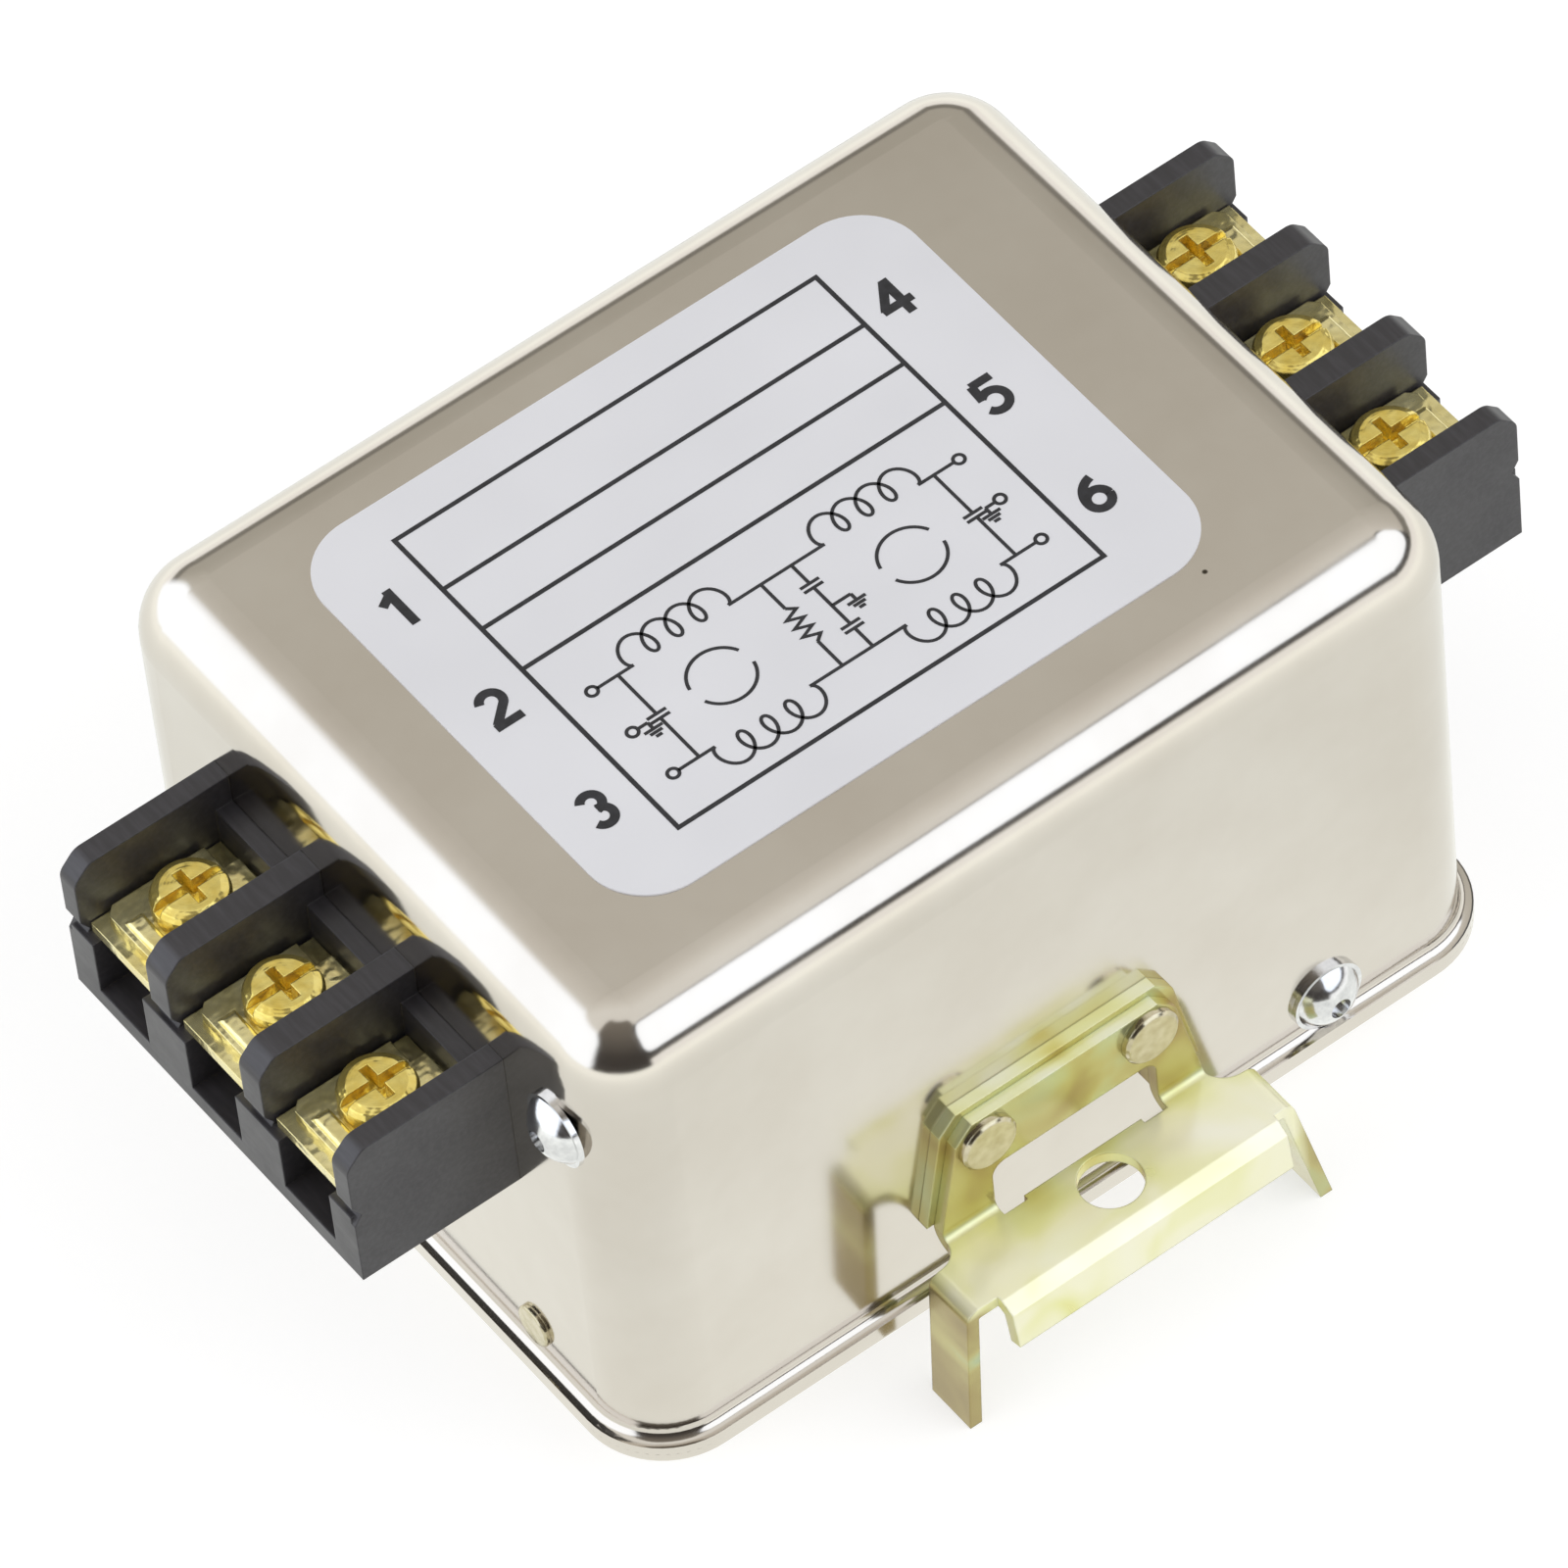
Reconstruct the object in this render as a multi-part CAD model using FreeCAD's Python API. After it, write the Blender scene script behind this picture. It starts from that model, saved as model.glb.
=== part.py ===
# Single-phase mains line filter in a drawn steel can, with a barrier terminal
# block on each end and a bent steel rail clip on each long side.
# Millimetres. X runs from the line end to the load end, Z is up, and the
# origin is the centre of the base plate's underside.

import os

import FreeCAD
import Part
from FreeCAD import Placement, Rotation, Vector

os.makedirs("parts", exist_ok=True)

X_AXIS = Vector(1, 0, 0)
Y_AXIS = Vector(0, 1, 0)
Z_AXIS = Vector(0, 0, 1)
HALF_TURN = Rotation(Z_AXIS, 180)

# Driving dimensions: the can and its base
case_length = 88.5
case_width = 68.6
case_height = 54.0
case_sheet = 0.8
case_corner_radius = 6.8
case_edge_radius = 6.4
rim_width = 1.25
rim_lip_height = 0.9
rim_fold_radius = 1.1
rim_steps = 4
base_sheet = 1.2
base_edge_radius = 0.5
tab_width = 10.0
tab_height = 8.6
tab_sheet = 1.0
tab_gap = 0.05

# Label on the lid
label_length = 60.6
label_width = 48.2
label_thickness = 0.15
label_corner_radius = 6.0
label_shift_x = -2.0
label_shift_y = 1.0

# Terminal blocks
pole_pitch = 13.0
pole_count = 3
block_depth = 15.75
block_bottom = 26.5
block_top = 42.6
bar_seat = 34.4
inner_wall = 2.8
outer_wall = 2.1
outer_bay_trim = 0.2
rear_wall = 1.7
rear_wall_drop = 3.2
nose_chamfer = 1.7
nose_round = 1.5
notch_depth = 0.8
notch_height = 1.6
pocket_width = 7.0
pocket_floor = 1.9
pocket_depth = 11.2
boss_reach = 1.05
boss_height = 6.4
boss_width = 35.0
window_gap = 0.15
snap_height = 1.0
snap_gap = 0.05

# Terminal metalwork
bar_width = 9.6
bar_thickness = 1.1
bar_setback = 0.9
bar_tail_width = 5.0
bar_tail_reach = 5.8
bar_slot_gap = 0.05
screw_inset = 7.9
screw_thread_radius = 1.7
screw_head_radius = 3.45
screw_head_height = 2.8
screw_head_edge = 0.9
screw_reach = 4.6
screw_gap = 0.05
slot_width = 0.9
slot_depth = 1.2
clamp_reach = 5.8
clamp_width = 9.0
clamp_thickness = 1.0
clamp_corner = 0.8
clamp_tail_width = 3.4
clamp_tail_length = 1.5
saddle_width = 3.4
saddle_length = 2.2
saddle_height = 0.5
saddle_round = 0.4
clamp_hole_gap = 0.25

# Rivets
blind_head_radius = 3.5
blind_head_height = 2.3
blind_flange_height = 0.5
blind_cap_radius = 3.15
blind_shank_radius = 1.6
blind_bulb_radius = 2.3
blind_bulb_length = 3.0
mandrel_radius = 1.0
mandrel_depth = 0.9
rivet_gap = 0.05
rivet_seat_gap = 0.1
earth_rivet_y = -(case_width / 2 - 7.0)
earth_rivet_z = 41.0
base_rivet_x = 26.6
base_rivet_z = 5.7
small_head_radius = 2.0
small_head_height = 0.5
small_shank_radius = 1.2
small_rivet_y = -(case_width / 2 - 15.0)
small_rivet_z = 5.7

# Rail clips
clip_sheet = 1.2
clip_centre_x = -0.8
clip_plate_top = 10.0
clip_bend_radius = 0.8
clip_flange_top = 22.3
clip_flange_top_half = 11.4
clip_flange_low_half = 13.5
clip_flange_shift = -0.75
clip_flange_chamfer = 1.8
clip_plate_reach = 9.6
clip_shoulder_length = 1.6
clip_shoulder_angle = 30.0
clip_lip_length = 3.7
clip_lip_angle = 80.0
clip_lip_half = 14.4
clip_span_half = 17.1
clip_leg_shift = -0.5
clip_leg_width = 5.2
clip_waist_run = 1.8
clip_leg_setback = 0.5
clip_leg_bottom = -5.0
clip_leg_radius = 1.4
clip_band_spare = 20.0
leg_splay_near = 3.0
leg_splay_far = 13.0
clip_window_half = 8.5
clip_window_shift = -0.3
clip_window_top = 15.2
clip_window_reach = 0.7
clip_window_radius = 1.4
clip_relief_width = 2.4
clip_relief_length = 0.5
clip_hole_radius = 2.85
clip_hole_reach = 4.1
backing_margin = 0.7
clip_rivet_spacing = 16.8
clip_rivet_z = 19.45
clip_rivet_head_radius = 2.75
clip_rivet_head_height = 0.85
clip_rivet_shank_radius = 1.5

# Circuit board and what stands on it
board_length = case_length - 8.5
board_width = case_width - 12.6
board_thickness = 1.6
board_height = 5.8
post_radius = 3.0
post_foot_radius = 4.5
post_foot_height = 1.0
post_pip_radius = 1.5
post_pip_height = 1.4
post_spacing_x = board_length - 14.0
post_spacing_y = board_width - 10.0
pin_gap = 0.1
solder_width = 0.6
pin_tail = 1.2
core_outer_radius = 13.0
core_inner_radius = 6.6
core_round = 0.8
core_lift = 0.6
wire_side = 1.3
wire_gap = 0.1
turn_count = 7
turn_angle = 20.0
tail_offset = 2.0
tail_clearance = 1.4
divider_thickness = 1.6
divider_overhang = 1.4
divider_gap = 0.1
divider_tab = 2.2
x_cap_length = board_width - 30.0
x_cap_width = 9.0
x_cap_height = 19.0
x_cap_round = 0.8
x_cap_spacing = board_length / 2 - 9.0
x_cap_pin_spacing = x_cap_length - 3.5
choke_room = 11.0
choke_setback = 6.0
core_width = x_cap_spacing - x_cap_width - choke_room
core_spacing = x_cap_width + core_width + 2 * choke_setback
y_cap_radius = 4.2
y_cap_thickness = 3.6
y_cap_lift = 1.0
y_cap_pin_spacing = 7.5
y_cap_first_y = 9.0 - board_width / 2
y_cap_step = 6.2
resistor_length = 9.0
resistor_radius = 1.6
resistor_lift = 0.6
resistor_span = 14.0
resistor_y = board_width / 2 - 8.0
lead_radius = 0.5

# Links and earth leads inside the can
link_radius = 0.8
link_inset = 3.6
link_head = 1.0
lug_thickness = 0.8
lug_ring_radius = 3.4
lug_tongue_width = 3.4
lug_tongue_length = 7.0
barrel_length = 4.0
barrel_radius = 1.35
earth_wire_radius = 0.9
earth_bend_radius = 2.6

# Places worked out from the driving dimensions
half_length = case_length / 2
half_width = case_width / 2
can_floor = base_sheet
lid_inside = case_height - case_sheet
inner_x = half_length - case_sheet
inner_y = half_width - case_sheet
bay_edge = pole_count * pole_pitch / 2 - inner_wall / 2 - outer_bay_trim
block_half = bay_edge + outer_wall
front_x = half_length + block_depth
screw_x = front_x - screw_inset
bar_front = front_x - bar_setback
bar_top = bar_seat + bar_thickness
clamp_top = bar_top + clamp_thickness
poles = [(i - (pole_count - 1) / 2) * pole_pitch for i in range(pole_count)]
board_bottom = base_sheet + board_height
board_top = board_bottom + board_thickness
bar_tail_end = inner_x - bar_tail_reach
link_x = inner_x - boss_reach - link_inset
boss_end = inner_x - boss_reach
boss_mid = bar_seat + bar_thickness / 2


def save(shape, node):
    """Write one node, whether it is one solid or a group of them."""
    shape.exportStep("parts/%s.step" % node)
    return shape


def turned(shape):
    """The same piece at the other end, half a turn about the Z axis."""
    copy = shape.copy()
    copy.rotate(Vector(0, 0, 0), Z_AXIS, 180)
    return copy


def box(x0, x1, y0, y1, z0, z1):
    """Block between two corners."""
    return Part.makeBox(x1 - x0, y1 - y0, z1 - z0, Vector(x0, y0, z0))


def rod(start, end, radius):
    """Round bar from one point to another."""
    run = end - start
    return Part.makeCylinder(radius, run.Length, start, run)


def prism(points, direction):
    """Flat outline through the points, carried along a direction."""
    outline = Part.makePolygon(points + [points[0]])
    return Part.Face(outline).extrude(direction)


def rounded_outline(length, width, radius, z):
    """Rectangle with round corners, centred on the Z axis."""
    x = length / 2
    y = width / 2
    r = radius
    s = r * (1 - 0.5 ** 0.5)
    runs = [
        ((x - r, -y), (x - s, -y + s), (x, -y + r)),
        ((x, y - r), (x - s, y - s), (x - r, y)),
        ((-x + r, y), (-x + s, y - s), (-x, y - r)),
        ((-x, -y + r), (-x + s, -y + s), (-x + r, -y)),
    ]
    corners = [[Vector(px, py, z) for px, py in run] for run in runs]
    edges = []
    for here, following in zip(corners, corners[1:] + corners[:1]):
        edges.append(Part.Arc(here[0], here[1], here[2]).toShape())
        edges.append(Part.LineSegment(here[2], following[0]).toShape())
    return Part.Wire(edges)


def rounded_slab(length, width, radius, z, height):
    """Slab with round corners, standing on the plane z."""
    face = Part.Face(rounded_outline(length, width, radius, z))
    return face.extrude(Vector(0, 0, height))


def flat_edges(shape, z, half_x, half_y):
    """Edges that lie in the plane z and reach no further than the given sides."""
    found = []
    for edge in shape.Edges:
        b = edge.BoundBox
        level = abs(b.ZMin - z) < 1e-4 and abs(b.ZMax - z) < 1e-4
        inside = max(abs(b.XMin), abs(b.XMax)) < half_x + 1e-3
        if level and inside and max(abs(b.YMin), abs(b.YMax)) < half_y + 1e-3:
            found.append(edge)
    return found


def spun(points, base, axis):
    """Body of revolution: (along, out) points turned about an axis through base."""
    profile = Part.Face(Part.makePolygon([Vector(r, 0, a) for a, r in points + [points[0]]]))
    body = profile.revolve(Vector(0, 0, 0), Z_AXIS, 360)
    body.Placement = Placement(base, Rotation(Z_AXIS, axis))
    return body


# The can: one deep-drawn cup with a flared rim
def can_hollow():
    """The space inside the can, with the can's own round corners."""
    hollow = rounded_slab(
        case_length - 2 * case_sheet,
        case_width - 2 * case_sheet,
        case_corner_radius - case_sheet,
        can_floor - 1,
        lid_inside - can_floor + 1,
    )
    edges = flat_edges(hollow, lid_inside, inner_x, inner_y)
    return hollow.makeFillet(case_edge_radius - case_sheet, edges)


def under_flare():
    """The space under the flared rim: outlines that follow the fold, a sheet's thickness inside it."""
    fold = rim_fold_radius + case_sheet
    top = rim_lip_height + rim_fold_radius
    rings = []
    for step in range(rim_steps + 1):
        height = top * step / rim_steps
        grow = rim_width - case_sheet
        if step > 0:
            grow = rim_fold_radius - (fold ** 2 - (top - height) ** 2) ** 0.5
        long_side = case_length + 2 * grow
        short_side = case_width + 2 * grow
        rings.append(rounded_outline(long_side, short_side, case_corner_radius + grow, can_floor + height))
    return Part.makeLoft(rings, True, True)


def flared_shell():
    """The can's outside: round lid edge, straight walls, and a lip folded outwards at the open end."""
    height = case_height - can_floor
    shell = rounded_slab(case_length, case_width, case_corner_radius, can_floor, height)
    shell = shell.makeFillet(case_edge_radius, flat_edges(shell, case_height, half_length, half_width))
    lip = rounded_slab(
        case_length + 2 * rim_width,
        case_width + 2 * rim_width,
        case_corner_radius + rim_width,
        can_floor,
        rim_lip_height,
    )
    shell = shell.fuse(lip)
    fold = flat_edges(shell, can_floor + rim_lip_height, half_length, half_width)
    return shell.makeFillet(rim_fold_radius, fold)


def make_can():
    shell = flared_shell().cut(can_hollow()).cut(under_flare())
    window = box(
        -half_length - 1,
        -inner_x + 1,
        -boss_width / 2 - window_gap,
        boss_width / 2 + window_gap,
        boss_mid - boss_height / 2 - window_gap,
        boss_mid + boss_height / 2 + window_gap,
    )
    cuts = [window]
    cuts.append(wall_hole(Vector(-half_length, earth_rivet_y, earth_rivet_z), X_AXIS, blind_shank_radius))
    cuts.append(wall_hole(Vector(-half_length, small_rivet_y, small_rivet_z), X_AXIS, small_shank_radius))
    low = Vector(base_rivet_x, -half_width, base_rivet_z)
    cuts.append(wall_hole(low, Y_AXIS, blind_shank_radius))
    cuts.append(Part.makeCylinder(blind_head_radius + rivet_seat_gap, 2 * rim_width, low, -Y_AXIS))
    for side in (-1, 1):
        x = clip_rivet_x(side)
        shank = clip_rivet_shank_radius
        shell = shell.cut(wall_hole(Vector(x, -half_width, clip_rivet_z), Y_AXIS, shank))
        across = 2 * clip_centre_x - x
        shell = shell.cut(wall_hole(Vector(across, half_width, clip_rivet_z), -Y_AXIS, shank))
    for tool in cuts:
        shell = shell.cut(tool).cut(turned(tool))
    return shell


def clip_rivet_x(side):
    """Where a rivet of the near clip stands along X."""
    return clip_centre_x + clip_flange_shift + side * clip_rivet_spacing / 2


def wall_hole(place, inward, radius):
    """Drill for a rivet, through a wall whose outer face holds the place."""
    return Part.makeCylinder(radius + rivet_gap, 4 * case_sheet, place - inward * case_sheet, inward)


# The base plate: a flat sheet under the rim, with four tabs turned up inside
def make_base():
    plate = rounded_slab(
        case_length + 2 * rim_width,
        case_width + 2 * rim_width,
        case_corner_radius + rim_width,
        0,
        base_sheet,
    )
    outside = half_length + rim_width
    plate = plate.makeFillet(base_edge_radius, flat_edges(plate, 0, outside, half_width + rim_width))
    tab_y = inner_y - tab_gap
    side_tab = box(
        base_rivet_x - tab_width / 2,
        base_rivet_x + tab_width / 2,
        -tab_y,
        -tab_y + tab_sheet,
        0.5 * base_sheet,
        base_sheet + tab_height,
    )
    low = Vector(base_rivet_x, -half_width, base_rivet_z)
    side_tab = side_tab.cut(wall_hole(low, Y_AXIS, blind_shank_radius))
    tab_x = inner_x - tab_gap
    end_tab = box(
        -tab_x,
        -tab_x + tab_sheet,
        small_rivet_y - tab_width / 2,
        small_rivet_y + tab_width / 2,
        0.5 * base_sheet,
        base_sheet + tab_height,
    )
    low = Vector(-half_length, small_rivet_y, small_rivet_z)
    end_tab = end_tab.cut(wall_hole(low, X_AXIS, small_shank_radius))
    for tab in (side_tab, end_tab):
        plate = plate.fuse(tab).fuse(turned(tab))
    return plate.removeSplitter()


def make_label():
    label = rounded_slab(label_length, label_width, label_corner_radius, case_height, label_thickness)
    label.translate(Vector(label_shift_x, label_shift_y, 0))
    return label


# Terminal block: ribs of one outline on a hollowed bed, with a boss through the can
def rib_outline(y):
    """Side view of a barrier wall, with its chamfered nose and front nick."""
    nick = bar_seat
    points = [
        (half_length, block_bottom),
        (front_x, block_bottom),
        (front_x, nick - notch_height / 2),
        (front_x - notch_depth, nick + notch_height / 4),
        (front_x, nick + notch_height),
        (front_x, block_top - nose_chamfer),
        (front_x - nose_chamfer, block_top),
        (half_length, block_top),
    ]
    return [Vector(-x, y, z) for x, z in points]


def make_rib(y, wall):
    """Barrier wall with its side face at y, the corners of its nose rounded."""
    rib = prism(rib_outline(y), Vector(0, wall, 0))
    nose = []
    for edge in rib.Edges:
        b = edge.BoundBox
        high = b.ZMin > block_top - nose_chamfer - 1e-3 and b.XMax < -front_x + nose_chamfer + 1e-3
        if high and b.YLength > wall / 2:
            nose.append(edge)
    return rib.makeFillet(nose_round, nose)


def make_block():
    ribs = [make_rib(-block_half, outer_wall), make_rib(block_half - outer_wall, outer_wall)]
    for left, right in zip(poles, poles[1:]):
        ribs.append(make_rib((left + right) / 2 - inner_wall / 2, inner_wall))
    bed = box(-front_x, -half_length, -block_half + 0.5, block_half - 0.5, block_bottom, bar_seat)
    back_top = block_top - rear_wall_drop
    side = block_half - 0.5
    back = box(-half_length - rear_wall, -half_length, -side, side, block_bottom, back_top)
    boss = box(
        -half_length,
        -boss_end,
        -boss_width / 2,
        boss_width / 2,
        boss_mid - boss_height / 2,
        boss_mid + boss_height / 2,
    )
    snap = box(
        -inner_x + snap_gap,
        -boss_end,
        -boss_width / 2,
        boss_width / 2,
        boss_mid - boss_height / 2 - snap_height,
        boss_mid + boss_height / 2 + snap_height,
    )
    block = ribs[0].multiFuse(ribs[1:] + [bed, back, boss, snap]).removeSplitter()
    for y in poles:
        pocket = box(
            -front_x - 1,
            -front_x + pocket_depth,
            y - pocket_width / 2,
            y + pocket_width / 2,
            block_bottom + pocket_floor,
            bar_seat + 1,
        )
        slot = box(
            -half_length - rear_wall - 1,
            -boss_end + 1,
            y - bar_tail_width / 2 - bar_slot_gap,
            y + bar_tail_width / 2 + bar_slot_gap,
            bar_seat,
            bar_top + bar_slot_gap,
        )
        block = block.cut(pocket).cut(slot)
    return block


def make_bar(y):
    """Brass bar: wide under the clamp, narrow through the can, drilled at both."""
    shoulder = half_length + rear_wall + bar_slot_gap
    wide = bar_width / 2
    narrow = bar_tail_width / 2
    outline = [
        (bar_front, -wide),
        (shoulder, -wide),
        (shoulder, -narrow),
        (bar_tail_end, -narrow),
        (bar_tail_end, narrow),
        (shoulder, narrow),
        (shoulder, wide),
        (bar_front, wide),
    ]
    bar = prism([Vector(-x, y + w, bar_seat) for x, w in outline], Vector(0, 0, bar_thickness))
    for x, radius in ((screw_x, screw_thread_radius + screw_gap), (link_x, link_radius + screw_gap)):
        bar = bar.cut(Part.makeCylinder(radius, 3 * bar_thickness, Vector(-x, y, bar_seat - bar_thickness)))
    return bar


def make_clamp(y):
    """Clamp plate with a raised saddle at the front and a narrow tail behind the screw."""
    a = clamp_reach
    b = clamp_width / 2
    c = clamp_corner
    t = clamp_tail_width / 2
    tail = a - clamp_tail_length
    outline = [(-a, -b + c), (-a + c, -b), (tail, -b), (tail, -t), (a, -t)]
    outline += [(a, t), (tail, t), (tail, b), (-a + c, b), (-a, b - c)]
    middle = -screw_x
    plate = prism([Vector(middle + u, y + v, bar_top) for u, v in outline], Vector(0, 0, clamp_thickness))
    s = saddle_width / 2
    h = saddle_height
    rise = [(-s - h, 0), (s + h, 0), (s, h), (-s, h)]
    front = middle - a + h
    saddle = prism([Vector(front, y + v, clamp_top + w) for v, w in rise], Vector(saddle_length - h, 0, 0))
    ridge = [e for e in saddle.Edges if e.BoundBox.ZMin > clamp_top + h - 1e-3]
    saddle = saddle.makeFillet(saddle_round, ridge)
    foot = Vector(middle, y, bar_top - 1)
    hole = Part.makeCylinder(screw_thread_radius + clamp_hole_gap, 3 * clamp_thickness, foot)
    return plate.fuse(saddle).cut(hole)


def make_screw(y):
    """Pan-head screw with a slot and a cross in its head."""
    top = clamp_top + screw_head_height
    edge = screw_head_edge
    wide = screw_head_radius
    head = [(top - edge, wide), (top - 0.4 * edge, wide - 0.25 * edge), (top, wide - edge), (top, 0)]
    tip = bar_seat - screw_reach
    r = screw_thread_radius
    profile = [(tip, 0), (tip, r - 0.4), (tip + 0.4, r), (clamp_top, r), (clamp_top, wide)] + head
    screw = spun(profile, Vector(-screw_x, y, 0), Z_AXIS)
    reach = screw_head_radius + 1
    cross = screw_head_radius * 0.55
    half = slot_width / 2
    slot = box(-screw_x - reach, -screw_x + reach, y - half, y + half, top - slot_depth, top + 1)
    across = box(-screw_x - half, -screw_x + half, y - cross, y + cross, top - 1.6 * slot_depth, top + 1)
    along = box(-screw_x - cross, -screw_x + cross, y - half, y + half, top - 1.6 * slot_depth, top + 1)
    return screw.cut(slot).cut(across).cut(along)


# Rivets, each turned about its own axis, with its head outside the can
def blind_rivet(place, inward, grip):
    """Thin flange, round cap with the mandrel's broken end in it, shank through the grip, bulb behind."""
    s = blind_shank_radius
    profile = [(-blind_flange_height, 0), (grip + blind_bulb_length, 0), (grip + blind_bulb_length, s)]
    profile += [(grip + blind_bulb_length / 2, blind_bulb_radius), (grip, s + 0.3), (grip, s), (0, s)]
    profile += [(0, blind_head_radius), (-blind_flange_height, blind_head_radius)]
    rise = blind_head_height - blind_flange_height
    ball_radius = (blind_cap_radius ** 2 + rise ** 2) / (2 * rise)
    foot = place - inward * blind_flange_height
    ball = Part.makeSphere(ball_radius, foot + inward * (ball_radius - rise))
    cap = ball.common(Part.makeCylinder(blind_head_radius, 2 * rise, foot, -inward))
    crown = place - inward * blind_head_height
    cap = cap.cut(Part.makeCylinder(mandrel_radius, 2 * mandrel_depth, crown - inward * mandrel_depth, inward))
    return spun(profile, place, inward).fuse(cap).removeSplitter()


def solid_rivet(place, inward, grip, shank, head_radius, head_height):
    """Flat head with a broken edge outside, clenched head inside."""
    edge = 0.3 * head_height
    clench = shank + 0.8
    profile = [
        (-head_height, 0),
        (-head_height, head_radius - edge),
        (-head_height + edge, head_radius),
        (0, head_radius),
        (0, shank),
        (grip, shank),
        (grip, clench),
        (grip + 0.9, clench - 0.3),
        (grip + 0.9, 0),
    ]
    return spun(profile, place, inward)


# Rail clip: one bent sheet, made as it leaves the press, on the near long side
clip_back = -half_width - clip_sheet
clip_face = clip_back - clip_sheet
clip_plate_under = clip_plate_top - clip_sheet
clip_front = clip_face - clip_plate_reach + clip_shoulder_length
hole_y = clip_face - clip_hole_reach


def bent_strip(turns, start, heading, side):
    """Outline points of a strip of sheet: each turn is (straight run, angle in degrees).

    The points follow one face out and the other face back, a sheet's thickness apart.
    """
    face = [start]
    back = []
    here = start
    direction = heading
    for run, angle in turns:
        here = here + direction * run
        next_direction = Rotation(X_AXIS, angle).multVec(direction)
        across = Rotation(X_AXIS, side * 90).multVec(direction)
        next_across = Rotation(X_AXIS, side * 90).multVec(next_direction)
        mitre = across + next_across
        mitre = mitre * (2 / mitre.dot(mitre))
        face.append(here)
        back.append(here + mitre * clip_sheet)
        direction = next_direction
    first = start + Rotation(X_AXIS, side * 90).multVec(heading) * clip_sheet
    return face + list(reversed([first] + back))


def make_clip():
    centre = clip_centre_x
    reach = clip_span_half + 4
    along = Vector(2 * reach, 0, 0)
    upper = Vector(centre - reach, clip_face, clip_flange_top)
    down = clip_flange_top - clip_plate_top
    out = clip_face - clip_front
    turns = [
        (down, -90),
        (out, clip_shoulder_angle),
        (clip_shoulder_length, clip_lip_angle - clip_shoulder_angle),
        (clip_lip_length, 0),
    ]
    strip = prism(bent_strip(turns, upper, Vector(0, 0, -1), 1), along)
    strip = round_bends(strip)
    strip = strip.common(flange_mask(centre + clip_flange_shift, 0)).common(plan_mask(centre))
    for side, splay in ((-1, leg_splay_near), (1, leg_splay_far)):
        strip = strip.fuse(make_leg(centre + clip_leg_shift, side, splay))
    strip = strip.removeSplitter()
    opening = centre + clip_window_shift
    strip = strip.cut(window_cut(opening)).cut(relief_cut(opening, -1)).cut(relief_cut(opening, 1))
    foot = Vector(centre, hole_y, clip_plate_under - clip_sheet)
    hole = Part.makeCylinder(clip_hole_radius, 4 * clip_sheet, foot)
    strip = strip.cut(hole)
    for side in (-1, 1):
        strip = strip.cut(clip_rivet_hole(clip_rivet_x(side)))
    return strip


def round_bends(strip):
    """Round both faces of each bend, the outer one by a sheet more."""
    bends = []
    outer_bends = []
    for edge in strip.Edges:
        b = edge.BoundBox
        if b.XLength < clip_span_half:
            continue
        y = b.Center.y
        z = b.Center.z
        if abs(y - clip_face) < 1e-3 and abs(z - clip_plate_top) < 1e-3:
            bends.append(edge)
        if abs(y - clip_back) < 1e-3 and abs(z - clip_plate_under) < 1e-3:
            outer_bends.append(edge)
    strip = strip.makeFillet(clip_bend_radius, bends)
    found = [e for e in strip.Edges if any(same_line(e, o) for o in outer_bends)]
    return strip.makeFillet(clip_bend_radius + clip_sheet, found)


def same_line(edge, other):
    """Whether two straight edges lie in the same place."""
    apart = (edge.BoundBox.Center - other.BoundBox.Center).Length
    return apart < 1e-3 and abs(edge.Length - other.Length) < 1e-3


def flange_mask(centre, margin):
    """Front view of the flange: tapered, with clipped upper corners, open below."""
    top = clip_flange_top + margin
    c = clip_flange_chamfer
    high = clip_flange_top_half + margin
    low = clip_flange_low_half + margin
    wide = clip_span_half + 6
    knee = clip_plate_top + clip_bend_radius
    points = [
        (-wide, clip_leg_bottom - 5),
        (wide, clip_leg_bottom - 5),
        (wide, knee),
        (low, knee),
        (high, top - c),
        (high - c, top),
        (-high + c, top),
        (-high, top - c),
        (-low, knee),
        (-wide, knee),
    ]
    return prism([Vector(centre + x, -half_width, z) for x, z in points], Vector(0, -clip_plate_reach * 3, 0))


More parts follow.
